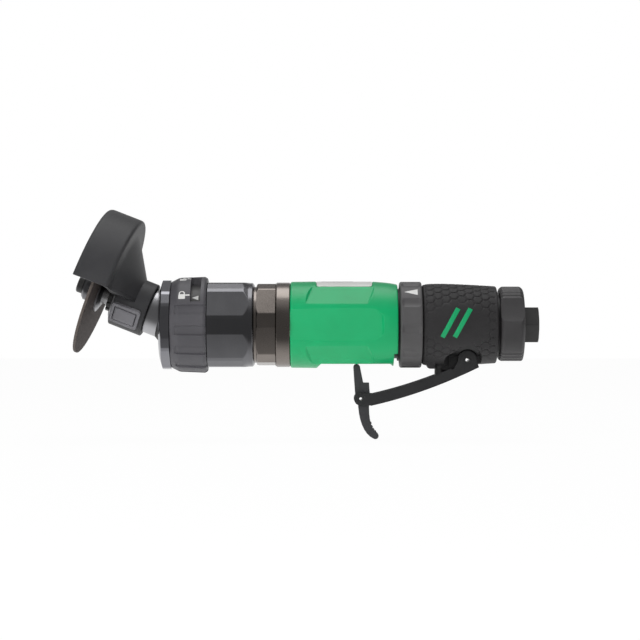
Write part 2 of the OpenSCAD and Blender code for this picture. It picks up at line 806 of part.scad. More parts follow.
module safety_catch() {
    steps = 8;
    hook_root = [1.7, -1];
    hook_bend = [1.5, -17.6];
    hook_tip = [8.4, -21.2];
    root_half = 3.2;
    tip_half = 1.9;
    block_out = 5.1;
    block_top = 9.1;
    // Centre line of the hook: a quadratic curve, with its width tapering to the tip
    function hook(t) = (1 - t) * (1 - t) * hook_root + 2 * t * (1 - t) * hook_bend + t * t * hook_tip;
    function heading(t) = 2 * (1 - t) * (hook_bend - hook_root) + 2 * t * (hook_tip - hook_bend);
    function edge(t, side) =
        let (d = heading(t), half = root_half + (tip_half - root_half) * t)
        hook(t) + side * half / norm(d) * [-d[1], d[0]];
    hook_sides = concat([for (i = [0 : steps]) edge(i / steps, 1)],
                        [for (i = [steps : -1 : 0]) edge(i / steps, -1)]);
    color([0.09, 0.09, 0.1]) difference() {
        union() {
            catch_plane(2 * catch_half)
                polygon([[catch_lean - catch_top_r, catch_top], [-2.9, 0], [-1.5, -3.5], [4.8, -3.5],
                         [block_out + 0.2, 2], [block_out - 0.3, block_top], [1.5, block_top],
                         [catch_lean + catch_top_r, catch_top]]);
            catch_plane(2 * catch_half) translate([catch_lean, catch_top]) circle(r = catch_top_r);
            catch_plane(2 * catch_half) polygon(hook_sides);
            catch_plane(2 * catch_half) translate(hook_tip) circle(r = tip_half);
            for (t = [0.52 : 0.13 : 0.91])
                catch_plane(2 * catch_half) translate(edge(t, 1)) circle(r = 0.5);
        }
        catch_plane(2 * catch_half + past) circle(r = pin_r * 0.8 + run_gap);
        catch_plane(4.4) circle(r = 2.6);
    }
}

module safety_spring() {
    color("silver") translate([safety_x, 0, safety_z]) rotate([90, 0, 0])
        coil(1.95, 0.35, -2.1, 2.1, 3);
}

// Motor housing and air motor

module motor_housing() {
    edge_round = 1.2;
    panel_at = sqrt(housing_r * housing_r - panel_h * panel_h / 4);
    panel_end = x_housing_r - 9.2;
    facet_at = housing_r - 1.15;
    facet_turn = 46;
    facet_half = 8;
    facet_lean = 2.3;
    facet_f = x_waist_f - 4.2;
    facet_r = x_waist_r - 0.8;
    facet = [[facet_f - facet_lean, -facet_half], [facet_r - facet_lean, -facet_half],
             [facet_r + facet_lean, facet_half], [facet_f + facet_lean, facet_half]];
    hook_x = x_housing_r - 4;
    recess_f = x_waist_f + 2.5;
    notch_len = 2.2;
    notch_drop = motor_bore_r - 2.9;
    skin = [[motor_bore_r, x_housing_f], [housing_r - edge_round, x_housing_f],
            [housing_r - 0.2, x_housing_f + edge_round], [housing_r, x_waist_f],
            [housing_r, x_waist_r], [housing_r - 0.8, hook_x - 1],
            [housing_r - 1.7, x_housing_r], [motor_bore_r, x_housing_r]];
    color([0, 0.6, 0.36]) difference() {
        along_x() rotate_extrude() polygon(skin);
        for (side = [-1, 1]) {
            // Flat side panel, open at the front end
            translate([x_housing_f - past, side > 0 ? panel_at : -panel_at - far, -far / 2])
                cube([panel_end - x_housing_f + past, far, far]);
            // Flat facets above and below the panel, with slanted creases at their ends
            for (turn = [facet_turn, -facet_turn])
                rotate([turn * side, 0, 0])
                    translate([0, side > 0 ? facet_at + far : -facet_at, 0])
                        rotate([90, 0, 0]) linear_extrude(height = far)
                            polygon([for (p = facet) [p[0], turn > 0 ? p[1] : -p[1]]]);
        }
        // Recess under the housing with sloping ends, in front of a small hook
        rotate([90, 0, 0]) linear_extrude(height = far, center = true)
            polygon([[recess_f, recess_z], [recess_f - recess_depth - past, recess_z - recess_depth - past],
                     [hook_x + recess_depth + past, recess_z - recess_depth - past], [hook_x, recess_z]]);
        // Pocket that the top of the safety catch swings through
        rotate([90, 0, 0]) linear_extrude(height = 2 * catch_half + 1.2, center = true)
            polygon(catch_pocket());
        // Notch at the lower rear edge
        translate([x_housing_r - notch_len, -far / 2, -far]) cube([far, far, far - notch_drop]);
        // Seat of the label
        along_x() rotate(label_from - label_edge) translate([0, 0, x_waist_f - face_gap])
            rotate_extrude(angle = label_turn + 2 * label_edge)
                translate([housing_r - label_depth, 0]) square([far, x_waist_r - x_waist_f + 2 * face_gap]);
    }
}

// Outline of the pocket: the path of the catch's top while the lever closes, plus room
function catch_pocket() =
    let (room = catch_top_r + 0.6, steps = 10, reach = 0.75,
         path = [for (i = [0 : steps]) catch_top_at(i / steps * reach)],
         way = [for (i = [0 : steps]) catch_top_at((i / steps + 0.01) * reach) - path[i]],
         edge = [for (i = [0 : steps]) path[i] + room / norm(way[i]) * [-way[i][1], way[i][0]]])
    concat([[path[0][0] - room * 0.7, recess_z - past], [path[0][0] - room * 0.7, recess_z + 0.2]],
           [for (p = edge) [p[0], max(recess_z + 0.1, p[1])]],
           [[path[steps][0] + room, recess_z + 0.1], [path[steps][0] + room, recess_z - past]]);

// Centre of the catch's round top when the lever has closed by a share of its travel
function catch_top_at(share) =
    let (turn = share * catch_turn, press = share * lever_press,
         p = [catch_lean * cos(turn) + catch_top * sin(turn), catch_top * cos(turn) - catch_lean * sin(turn)],
         q = [p[0] - lever_len, p[1] + safety_z - pivot_z])
    [pivot_x + q[0] * cos(press) + q[1] * sin(press), pivot_z + q[1] * cos(press) - q[0] * sin(press)];

module data_label() {
    label_t = 0.5;
    color("white") along_x() rotate(label_from) translate([0, 0, x_waist_f]) rotate_extrude(angle = label_turn)
        translate([housing_r - label_depth + fit_gap, 0]) square([label_t, x_waist_r - x_waist_f]);
}

module end_plate(x0) {
    port_at = (motor_race_r + motor_bore_r) / 2;
    port_r = (motor_bore_r - motor_race_r) / 4.2;
    difference() {
        rod_z(motor_bore_r - fit_gap, x0, x0 + plate_t);
        rod_z(motor_race_r + fit_gap, x0 + 0.3, x0 + plate_t + past);
        rod_z(motor_race_r - 2, x0 - past, x0 + plate_t);
        for (a = [30 : 60 : 150])
            rotate(a) translate([port_at, 0, 0]) rod_z(port_r, x0 - past, x0 + plate_t + past);
    }
}

module rear_end_plate() {
    color([0.55, 0.55, 0.57]) along_x() end_plate(x_liner_r);
}

module front_end_plate() {
    color([0.55, 0.55, 0.57]) along_x()
        translate([0, 0, x_liner_f]) mirror([0, 0, 1]) end_plate(0);
}

module motor_cylinder() {
    port_r = 1.4;
    ports = 5;
    color([0.6, 0.6, 0.62]) along_x() difference() {
        rod_z(motor_bore_r - fit_gap, x_liner_f, x_liner_r);
        translate([0, bore_offset, 0]) rod_z(liner_bore_r, x_liner_f - past, x_liner_r + past);
        for (i = [1 : ports])
            translate([0, 0, x_liner_f + i * liner_len / (ports + 1)]) rotate([0, 90, 0])
                cylinder(r = port_r, h = far);
    }
}

module rear_motor_bearing() {
    color("silver") along_x()
        outer_race(motor_shaft_r, motor_race_r, x_plate_r - motor_race_w - 0.2, motor_race_w);
}

module front_motor_bearing() {
    color("silver") along_x()
        outer_race(motor_shaft_r, motor_race_r, x_plate_f + 0.2, motor_race_w);
}

module motor_inner_races() {
    color("silver") along_x() {
        inner_race(motor_shaft_r, motor_race_r, x_plate_r - motor_race_w - 0.2, motor_race_w);
        inner_race(motor_shaft_r, motor_race_r, x_plate_f + 0.2, motor_race_w);
    }
}

x_shaft_joint = (x_nut_mid + x_nut_f) / 2;

module rotor() {
    color([0.5, 0.5, 0.52]) along_x() {
        difference() {
            rod_z(rotor_r, x_liner_f + rotor_end_gap, x_liner_r - rotor_end_gap);
            for (i = [0 : vane_count - 1])
                rotate(i * 360 / vane_count) translate([slot_floor, -vane_t / 2, x_liner_f - past])
                    cube([rotor_r, vane_t, liner_len + 2 * past]);
        }
        rod_z(motor_shaft_r - fit_gap, x_liner_r - rotor_end_gap, x_plate_r - 0.5);
        rod_z(motor_shaft_r - fit_gap, x_plate_f - 0.5, x_liner_f + rotor_end_gap);
        rod_z(nose_shaft_r, x_shaft_joint + 0.3, x_plate_f - 0.5);
    }
}

module rotor_vanes() {
    side_gap = 0.06;
    color([0.3, 0.2, 0.12]) along_x() for (i = [0 : vane_count - 1])
        rotate(i * 360 / vane_count)
            translate([slot_floor + 0.2, -vane_t / 2 + side_gap, x_liner_f + rotor_end_gap + 0.1])
                cube([vane_depth, vane_t - 2 * side_gap, liner_len - 2 * rotor_end_gap - 0.2]);
}

module shaft_sleeve() {
    sleeve_half = 8;
    sleeve_out = 7;
    color([0.45, 0.45, 0.47]) along_x()
        ring_z(sleeve_out, nose_shaft_r + fit_gap, x_shaft_joint - sleeve_half, x_shaft_joint + sleeve_half);
}

// Clamp nut and swivel coupling

module clamp_nut() {
    rim = 0.6;
    sink = 1;
    neck_step = 2.4;
    color([0.32, 0.3, 0.29]) along_x() difference() {
        union() {
            chamfered(nut_r, x_nut_mid, x_housing_f, rim);
            intersection() {
                translate([0, 0, x_nut_f]) rotate(nut_turn) linear_extrude(height = nut_hex_len + sink)
                    cut_hexagon(nut_af / 2, nut_af / 2 + nut_corner);
                chamfered(nut_r + 0.2, x_nut_f, x_nut_mid + 3 * sink, 1);
            }
            rod_z(motor_bore_r - fit_gap, x_housing_f - sink, x_plate_f);
            rod_z(nut_front_r - fit_gap, x_nut_f - nut_front_len, x_nut_f + sink);
            rod_z(nut_r - neck_step, x_coupling_r, x_nut_f + sink);
        }
        rod_z(nut_bore_r, x_nut_f - nut_front_len - past, x_plate_f + past);
    }
}

module coupling_housing() {
    round_len = 3;
    cone_run = 5;
    round_r = coupling_af / 2;
    color([0.13, 0.13, 0.14]) along_x() difference() {
        union() {
            intersection() {
                translate([0, 0, x_coupling_f]) linear_extrude(height = coupling_len)
                    cut_hexagon(coupling_af / 2, coupling_corner);
                rotate_extrude() polygon([[0, x_coupling_f], [round_r + 2.2, x_coupling_f],
                    [round_r + 2.2, x_coupling_r - round_len - cone_run],
                    [round_r - 0.05, x_coupling_r - round_len], [round_r - 0.05, x_coupling_r - 1],
                    [round_r - 1.2, x_coupling_r], [0, x_coupling_r]]);
            }
            rod_z(coupling_spigot_r, x_base_r + face_gap, x_coupling_f);
        }
        rod_z(socket_r, x_base_r - past, x_socket);
        rod_z(race_r + fit_gap, x_socket - past, x_race_1 + race_w);
        rod_z(race_shoulder_r, x_race_1, x_race_2 + past);
        rod_z(race_r + fit_gap, x_race_2, x_nut_seat + past);
        rod_z(nut_front_r, x_nut_seat, x_coupling_r + past);
        for (i = [0 : lock_ball_count - 1])
            rotate(i * 360 / lock_ball_count) translate([0, 0, x_lock_ball]) rotate([0, 90, 0])
                cylinder(r = lock_ball_r + run_gap, h = far);
    }
}

module pinion_bearings() {
    color("silver") along_x() {
        outer_race(race_shaft_r, race_r, x_race_1, race_w);
        outer_race(race_shaft_r, race_r, x_race_2, race_w);
    }
}

module pinion_inner_races() {
    color("silver") along_x() {
        inner_race(race_shaft_r, race_r, x_race_1, race_w);
        inner_race(race_shaft_r, race_r, x_race_2, race_w);
    }
}

// Balls that hold the head's spigot by a round groove
module lock_balls() {
    color("silver") along_x() for (i = [0 : lock_ball_count - 1])
        rotate(i * 360 / lock_ball_count) translate([lock_ball_at, 0, x_lock_ball]) sphere(r = lock_ball_r);
}

module lock_ring() {
    nose_run = 4.5;
    rear_run = 1.4;
    bar_from = 161;
    bar_count = 11;
    recess_half = 5.3;
    window_from = 88;
    window_turn = 63;
    window_x = x_lock_r - 9;
    window_len = 5.8;
    skin = [[lock_bore_r, x_lock_f], [lock_nose_r, x_lock_f], [lock_r - 0.6, x_lock_f + nose_run],
            [lock_r, x_lock_r - rear_run], [lock_r - 1, x_lock_r], [lock_bore_r, x_lock_r]];
    recess = [[lock_r + past, x_lock_f + 1.4], [lock_r - 0.6 - lock_recess, x_lock_f + nose_run - 1],
              [lock_r - 0.4 - lock_recess, x_lock_r + past], [lock_r + past, x_lock_r + past]];
    color([0.36, 0.36, 0.38]) along_x() difference() {
        rotate_extrude() polygon(skin);
        for (i = [0 : bar_count - 1])
            rotate(bar_from + i * lock_pitch - recess_half)
                rotate_extrude(angle = 2 * recess_half) polygon(recess);
        rotate(window_from) translate([0, 0, window_x]) rotate_extrude(angle = window_turn)
            translate([lock_bore_r - past, 0]) square([far, window_len]);
    }
}

// Pinion side of the gears

module pinion_shaft() {
    color([0.5, 0.5, 0.52]) along_x() {
        rod_z(gear_bore_r - fit_gap, x_apex + shaft_end, x_apex + gear_hub_end);
        rod_z(race_shaft_r - fit_gap, x_apex + gear_hub_end, x_shaft_joint - 0.3);
    }
}

module bevel_pinion() {
    color([0.55, 0.53, 0.5]) translate([x_apex, 0, 0]) rotate([-head_roll, 0, 0]) rotate([0, 90, 0]) bevel(0);
}

// Angle head

module gear_head() {
    flare_r = 16.2;
    flare_s = 15;
    rise = 4.4;
    base_sink = 0.5;
    base_half = coupling_af / 2;
    color([0.12, 0.12, 0.13]) difference() {
        union() {
            along_x() rotate(-head_roll) {
                intersection() {
                    translate([0, 0, x_base_f]) rotate(30) linear_extrude(height = base_len)
                        cut_hexagon(base_half, coupling_corner);
                    rotate_extrude() polygon([[0, x_base_f], [base_half - 3.6, x_base_f],
                        [base_half + 2, x_base_f + 1.8], [base_half + 2, x_base_r], [0, x_base_r]]);
                }
                rod_z(socket_r - run_gap, x_base_r - base_sink, x_base_r + swivel_len);
            }
            head_frame() {
                rod_z(neck_r, 6, collar_s0 - 0.2);
                rod_z(collar_r0 - run_gap, collar_s0 - 0.2, nose_s);
            }
            hull() {
                head_frame() translate([0, 0, flare_s - 0.4])
                    cylinder(r = neck_r - 0.4, h = 0.4, $fn = coarse_fn);
                rotate([-head_roll, 0, 0]) translate([x_base_f + base_sink, 0, rise]) along_x()
                    cylinder(r = flare_r, h = 1, $fn = coarse_fn);
            }
        }
        along_x() {
            rod_z(gear_space_r, x_apex - 1, x_base_r + swivel_len + past);
            rotate_extrude() translate([lock_ball_at, x_lock_ball]) circle(r = ball_groove_r);
            ring_z(socket_r + past, socket_r - swivel_groove,
                   x_swivel_seal - swivel_groove / 2, x_swivel_seal + swivel_groove / 2);
        }
        head_frame() {
            rod_z(gear_space_r, -2, spindle_race_1 - 0.5);
            rod_z(race_r + fit_gap, 0, spindle_race_1 + race_w + 0.5);
            rod_z(head_bore_r, spindle_race_1 + race_w + 0.4, nose_s + past);
            ring_z(neck_r + past, collar_r0 - 0.8, collar_end + fit_gap, collar_end + circlip_w + fit_gap);
        }
    }
}

// O ring in a groove of the head's spigot, which keeps the grease in
module swivel_seal() {
    color([0.06, 0.06, 0.06]) along_x() rotate_extrude()
        translate([socket_r - run_gap - fit_gap - swivel_wire, x_swivel_seal]) circle(r = swivel_wire);
}

module rear_spindle_bearing() {
    color("silver") head_frame() outer_race(race_shaft_r, race_r, spindle_race_1, race_w);
}

module front_spindle_bearing() {
    color("silver") head_frame() outer_race(spindle_front_r, spindle_race_r, spindle_race_2, spindle_race_w);
}

module spindle_inner_races() {
    color("silver") head_frame() {
        inner_race(race_shaft_r, race_r, spindle_race_1, race_w);
        inner_race(spindle_front_r, spindle_race_r, spindle_race_2, spindle_race_w);
    }
}

// Ring nut that closes the head, with notches for a pin wrench
module bearing_retainer() {
    notches = 12;
    crown_r = spindle_race_r - 0.4;
    color([0.2, 0.2, 0.2]) head_frame() difference() {
        union() {
            rod_z(spindle_race_r, nose_s - retainer_in, nose_s);
            rod_z(crown_r, nose_s, nose_s + retainer_out);
        }
        rod_z(spindle_front_r + 1.4, nose_s - retainer_in - past, nose_s + retainer_out + past);
        for (i = [0 : notches - 1])
            rotate(i * 360 / notches) translate([crown_r, 0, nose_s + retainer_out / 2])
                cube([1.6, 1.8, retainer_out + 2], center = true);
    }
}

module guard_circlip() {
    color([0.25, 0.25, 0.26]) head_frame() difference() {
        ring_z(latch_seat() - face_gap, collar_r0 - 0.8 + fit_gap,
               collar_end + 2 * fit_gap, collar_end + circlip_w);
        translate([0, -1.5, collar_end]) cube([far, 3, 2]);
    }
}

// Guard and its latch

module latch_frame_at() {
    head_frame() rotate(latch_angle) translate([0, 0, latch_s]) rotate([0, 90, 0]) children();
}

module wheel_guard() {
    inner_r = guard_r - guard_wall;
    inner_s = nose_s + guard_wall;
    slope_back = guard_wall * 1.2;
    corner = 6;
    function arc(cr, cs, r, from, to) =
        [for (i = [0 : corner]) let (a = from + (to - from) * i / corner) [cr + r * cos(a), cs + r * sin(a)]];
    shell = concat([[collar_r1, cone_s0], [cone_r, nose_s]],
        arc(guard_r - rear_round, nose_s + rear_round, rear_round, -90, 0),
        arc(guard_r - front_round, guard_front - front_round, front_round, 0, 65),
        [[inner_r - 1.4, guard_front - 0.3], [inner_r - 1.4, guard_front - 2], [inner_r, guard_front - 4],
         [inner_r, inner_s], [cone_r + 0.6, inner_s], [collar_r1 - 0.1, cone_s0 + slope_back]]);
    solid_cone = [[0, cone_s0], [collar_r1, cone_s0], [cone_r, nose_s], [cone_r, inner_s], [0, inner_s]];
    shelf_t = 2;
    color([0.11, 0.11, 0.12]) difference() {
        head_frame() {
            ring_z(collar_r1, collar_r0, collar_s0, collar_end);
            rotate(-90) rotate_extrude(angle = 180) polygon(shell);
            // Shelf that closes the half cone along its lower edge
            difference() {
                intersection() {
                    rotate_extrude() polygon(solid_cone);
                    translate([0, -far, 0]) cube([shelf_t, 2 * far, far]);
                }
                rod_z(collar_r1 - 0.2, 0, far);
                rod_z(inner_flange_r + 1, nose_s - 2, far);
            }
        }
        latch_frame_at() {
            rod_z(latch_stem_r + run_gap, 0, far);
            translate([0, 0, latch_seat()]) linear_extrude(height = far)
                square([latch_len + 2 * fit_gap, latch_w + 2 * fit_gap], center = true);
        }
    }
}

// Height of the latch frame's flat seat over the neck's axis
function latch_seat() = collar_r1 - 2.4;

module latch_outline(inset) {
    offset(r = 1.2) square([latch_len - 2.4 - 2 * inset, latch_w - 2.4 - 2 * inset], center = true);
}

module latch_frame() {
    seat = latch_seat();
    color([0.42, 0.42, 0.44]) latch_frame_at() difference() {
        translate([0, 0, seat + fit_gap]) linear_extrude(height = latch_out - seat - fit_gap) latch_outline(0);
        translate([0, 0, latch_out - latch_plate_t - latch_travel - 0.2]) linear_extrude(height = far)
            latch_outline(latch_rim);
        rod_z(latch_stem_r + run_gap, 0, far);
    }
}

module latch_button() {
    stem = 1.3;
    top = latch_out + latch_lift;
    color([0.42, 0.42, 0.44]) latch_frame_at() {
        translate([0, 0, top - latch_plate_t]) linear_extrude(height = latch_plate_t)
            latch_outline(latch_rim + face_gap);
        rod_z(stem, collar_r0 + latch_travel + face_gap, top - latch_plate_t / 2);
    }
}

module latch_spring() {
    color("silver") latch_frame_at()
        coil(1.9, 0.25, collar_r0 + 0.2, latch_out + latch_lift - latch_plate_t - fit_gap, 2);
}

// Spindle and wheel

module spindle() {
    color([0.6, 0.6, 0.62]) head_frame() difference() {
        union() {
            rod_z(gear_bore_r - fit_gap, shaft_end, gear_hub_end);
            rod_z(race_shaft_r - fit_gap, gear_hub_end, spindle_race_1 + race_w + 0.4);
            rod_z(spindle_front_r - fit_gap, spindle_race_1 + race_w + 0.4, collar_s);
            rod_z(nose_collar_r, collar_s, flange_s);
            rod_z(arbor_r, flange_s, arbor_end);
        }
        rod_z(screw_r + fit_gap, arbor_end - screw_depth, arbor_end + past);
    }
}

module bevel_gear() {
    color([0.55, 0.53, 0.5]) head_frame() bevel(180 / gear_teeth);
}

module inner_flange() {
    hub_r = 8;
    color([0.75, 0.75, 0.77]) head_frame() rotate_extrude()
        polygon([[wheel_bore_r, flange_s], [hub_r, flange_s], [inner_flange_r, wheel_s - 0.9],
                 [inner_flange_r, wheel_s], [wheel_bore_r, wheel_s]]);
}

module cutting_wheel() {
    color([0.2, 0.16, 0.14]) head_frame() ring_z(wheel_r, wheel_bore_r, wheel_s, wheel_s + wheel_t);
}

module outer_flange() {
    color([0.5, 0.49, 0.48]) head_frame() rotate_extrude()
        polygon([[wheel_bore_r, outer_flange_s], [outer_flange_r, outer_flange_s],
                 [outer_flange_r, screw_s - 1.4], [outer_flange_r - 1.4, screw_s],
                 [screw_r + 0.3, screw_s], [screw_r + 0.3, arbor_end + 0.4],
                 [wheel_bore_r, arbor_end + 0.4]]);
}

module wheel_screw() {
    socket_af = 5;
    color([0.12, 0.12, 0.12]) head_frame() difference() {
        union() {
            rod_z(screw_r, arbor_end - screw_depth + 2, screw_s);
            translate([0, 0, screw_s]) chamfered(screw_head_r, 0, screw_head_t, 0.6);
        }
        translate([0, 0, screw_s + 1.4]) cylinder(r = socket_af / 2 / cos(30), h = screw_head_t, $fn = 6);
    }
}

inlet_bushing();
inlet_screen();
inlet_seal();
exhaust_ring();
exhaust_felt();
handle_body();
rubber_grip();
regulator_ring();
regulator_seal();
motor_housing();
data_label();
rear_end_plate();
motor_cylinder();
front_end_plate();
rear_motor_bearing();
front_motor_bearing();
clamp_nut();
coupling_housing();
pinion_bearings();
lock_balls();
lock_ring();
valve_bushing();
valve_plug();
valve_spring();
throttle_plunger();
plunger_seals();
lever_pin();
throttle_lever();
safety_pin();
safety_catch();
safety_spring();
rotor();
rotor_vanes();
motor_inner_races();
shaft_sleeve();
pinion_shaft();
bevel_pinion();
pinion_inner_races();
gear_head();
swivel_seal();
rear_spindle_bearing();
front_spindle_bearing();
bearing_retainer();
guard_circlip();
wheel_guard();
latch_frame();
latch_button();
latch_spring();
spindle();
bevel_gear();
spindle_inner_races();
inner_flange();
cutting_wheel();
outer_flange();
wheel_screw();
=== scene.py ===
# %% [markdown]
# # Dressing an air cut off tool
# The tool lies along X: air comes in at the right end, a vane motor sits in the green housing, and a bevel
# gear head at the left drives a 76 mm cutting wheel under a half guard. The CAD frame already holds every
# piece at its true size. Here the shells that show get smooth worked surfaces with soft edges, and every
# piece gets a finish. Sizes are written in millimetres and turned to metres in one place.

# %% Load the frame
import json
import math

import bmesh
import bpy
import numpy as np
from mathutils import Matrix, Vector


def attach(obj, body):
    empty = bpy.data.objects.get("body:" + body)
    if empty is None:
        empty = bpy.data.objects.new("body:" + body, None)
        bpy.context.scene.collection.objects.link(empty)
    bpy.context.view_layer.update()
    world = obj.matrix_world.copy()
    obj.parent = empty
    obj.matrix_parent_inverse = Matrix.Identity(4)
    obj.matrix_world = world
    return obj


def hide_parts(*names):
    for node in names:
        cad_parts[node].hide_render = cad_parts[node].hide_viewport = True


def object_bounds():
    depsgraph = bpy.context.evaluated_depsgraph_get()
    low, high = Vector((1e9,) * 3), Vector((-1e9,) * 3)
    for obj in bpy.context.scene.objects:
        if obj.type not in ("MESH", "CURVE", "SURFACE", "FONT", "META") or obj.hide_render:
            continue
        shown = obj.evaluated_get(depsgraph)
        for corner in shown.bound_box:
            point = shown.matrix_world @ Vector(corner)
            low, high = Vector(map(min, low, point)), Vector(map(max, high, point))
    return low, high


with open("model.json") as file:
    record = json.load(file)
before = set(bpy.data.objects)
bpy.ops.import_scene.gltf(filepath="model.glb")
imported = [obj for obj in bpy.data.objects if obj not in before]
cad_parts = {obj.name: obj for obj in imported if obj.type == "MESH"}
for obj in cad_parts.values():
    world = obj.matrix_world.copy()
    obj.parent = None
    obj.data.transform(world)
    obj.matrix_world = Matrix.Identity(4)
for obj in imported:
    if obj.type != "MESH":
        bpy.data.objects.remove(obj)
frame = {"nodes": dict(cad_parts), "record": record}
nodes = frame["nodes"]
cad_box = [list(map(float, corner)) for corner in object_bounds()]
MM = 0.001
print("CAD nodes:", len(nodes), "box:", cad_box)

# %% [markdown]
# ## Two directions to turn pieces about
# Nearly every piece is round about one of two lines: the tool's axis, or the spindle's, which leans 21.5
# degrees up and 6 degrees away. A place on either is a distance along, a radius and an angle. The angle
# about the tool starts at the side that faces the camera and grows upwards.

# %% Places in the tool and in the head
APEX = np.array([-202.1, 0.0, 0.0])
TILT, ROLL = np.radians(21.5), np.radians(6.0)
SPINDLE = np.array([-np.cos(TILT), np.sin(TILT) * np.sin(ROLL), np.sin(TILT) * np.cos(ROLL)])
LEAN = np.array([np.sin(TILT), np.cos(TILT) * np.sin(ROLL), np.cos(TILT) * np.cos(ROLL)])
ACROSS = np.array([0.0, np.cos(ROLL), -np.sin(ROLL)])


def on_tool(along, radius, angle):
    """Tool axis: X is along, the camera's side is -Y at angle 0, and angle 90 degrees is up."""
    along, radius, angle = np.broadcast_arrays(along, radius, angle)
    return np.stack([along, -radius * np.cos(angle), radius * np.sin(angle)], -1)


def on_spindle(along, radius, angle):
    """Spindle axis: apex plus along times the spindle, plus the radius turned from LEAN towards ACROSS."""
    along, radius, angle = (v[..., None] for v in np.broadcast_arrays(along, radius, angle))
    return APEX + along * SPINDLE + radius * (np.cos(angle) * LEAN + np.sin(angle) * ACROSS)


# %% [markdown]
# ## From arrays to meshes
# A piece starts as a grid of points. Quads join neighbouring points, and a grid that wraps in both directions is
# a closed skin. A tube that ends gets a cap at each end instead.

# %% Grids and meshes
def grid_faces(rows, cols, wrap_rows=True, wrap_cols=True):
    """Quads between neighbouring grid points; a wrap joins the last row or column to the first."""
    index = np.arange(rows * cols).reshape(rows, cols)
    index = np.vstack([index, index[:1]]) if wrap_rows else index
    index = np.hstack([index, index[:, :1]]) if wrap_cols else index
    return np.stack([index[:-1, :-1], index[:-1, 1:], index[1:, 1:], index[1:, :-1]], -1).reshape(-1, 4)


def tube_faces(rows, cols):
    """Quads of a tube of rings, and a cap at each end."""
    faces = grid_faces(rows, cols, False, True).tolist()
    return faces + [list(range(cols)), list(range((rows - 1) * cols, rows * cols))]


def add_piece(name, points, faces, crease=38):
    """Mesh from points in millimetres. Doubles are merged and faces turned outwards before shading."""
    mesh = bpy.data.meshes.new(name)
    mesh.from_pydata((np.reshape(points, (-1, 3)) * MM).tolist(), [], [list(f) for f in faces])
    work = bmesh.new()
    work.from_mesh(mesh)
    bmesh.ops.remove_doubles(work, verts=work.verts, dist=2e-7)
    bmesh.ops.dissolve_degenerate(work, edges=work.edges, dist=2e-7)
    bmesh.ops.recalc_face_normals(work, faces=work.faces)
    work.to_mesh(mesh)
    work.free()
    mesh.shade_smooth()
    mesh.set_sharp_from_angle(angle=math.radians(crease))
    piece = bpy.data.objects.new(name, mesh)
    bpy.context.scene.collection.objects.link(piece)
    return piece


# %% [markdown]
# A turned or moulded piece is a closed section carried round an axis, as the Screw modifier does it. With arrays
# the radius may also follow the angle, which gives flats and flutes in the same grid. The section's corners are
# small curves, because a moulded or turned edge is never a knife edge, and it is those curves that catch the
# light.

# %% Sections, and how they are carried
def rounded_loop(corners, rounding, steps=5):
    """Closed outline whose corners become quadratic curves that start and end a rounding away from them."""
    corner = np.asarray(corners, float)
    size = np.broadcast_to(rounding, len(corner))[:, None]
    back, ahead = np.roll(corner, 1, 0) - corner, np.roll(corner, -1, 0) - corner
    back_len = np.linalg.norm(back, axis=1, keepdims=True)
    ahead_len = np.linalg.norm(ahead, axis=1, keepdims=True)
    start = corner + back / back_len * np.minimum(size, back_len * 0.49)
    end = corner + ahead / ahead_len * np.minimum(size, ahead_len * 0.49)
    t = np.linspace(0, 1, steps)[None, :, None]
    arcs = (1 - t) ** 2 * start[:, None] + 2 * t * (1 - t) * corner[:, None] + t**2 * end[:, None]
    return arcs.reshape(-1, 2)


def finer(loop, step):
    """The same closed outline with no side longer than step, which may differ from side to side."""
    side = np.roll(loop, -1, 0) - loop
    count = np.maximum(np.ceil(np.linalg.norm(side, axis=1) / step).astype(int), 1)
    which = np.repeat(np.arange(len(loop)), count)
    share = (np.arange(count.sum()) - np.repeat(np.cumsum(count) - count, count)) / np.repeat(count, count)
    return loop[which] + share[:, None] * side[which]


LONGEST_SIDE = 70.0


def fine_skin(loop, bore, step):
    """The outline with points a step apart on the skin, and long straight sides below the bore's radius."""
    return finer(loop, np.where(loop[:, 1] < bore, LONGEST_SIDE, step))


def soft_min(a, b, blend):
    """The smaller of two surfaces, with a fillet of about blend where they cross."""
    h = np.clip(0.5 + 0.5 * (b - a) / blend, 0, 1)
    return b * (1 - h) + a * h - blend * h * (1 - h)


def full_turn(count):
    """Angles of a whole turn, without the last one, which is the first again."""
    return np.linspace(0, 2 * np.pi, count, endpoint=False)


def carry(name, section, place, columns, limit=None, blend=0.4, crease=38):
    """Carry a section of (along, radius) round an axis; limit(along, angle) cuts the radius back."""
    angle = full_turn(columns)[None, :]
    along, radius = section[:, :1], np.repeat(section[:, 1:], columns, 1)
    if limit is not None:
        radius = soft_min(radius, limit(along, angle), blend)
    return add_piece(name, place(along, radius, angle), grid_faces(len(section), columns), crease)


# %% [markdown]
# Windows and pockets go through a wall, so they are cut out as solids, and the result is kept as the piece's own
# mesh. A finished piece is then settled: it rides on one body of the frame, so that it moves with that body's
# joint, and it stands in for the CAD nodes that it covers.

# %% Cutting and settling
def cut_away(piece, cutter):
    """Take the cutter's solid out of a piece for good, and remove the cutter."""
    modifier = piece.modifiers.new("cut", "BOOLEAN")
    modifier.operation, modifier.solver, modifier.object = "DIFFERENCE", "EXACT", cutter
    ready = piece.evaluated_get(bpy.context.evaluated_depsgraph_get())
    mesh = bpy.data.meshes.new_from_object(ready)
    mesh.name = piece.name
    piece.modifiers.clear()
    piece.data = mesh
    bpy.data.objects.remove(cutter)
    piece.data.set_sharp_from_angle(angle=math.radians(38))
    return piece


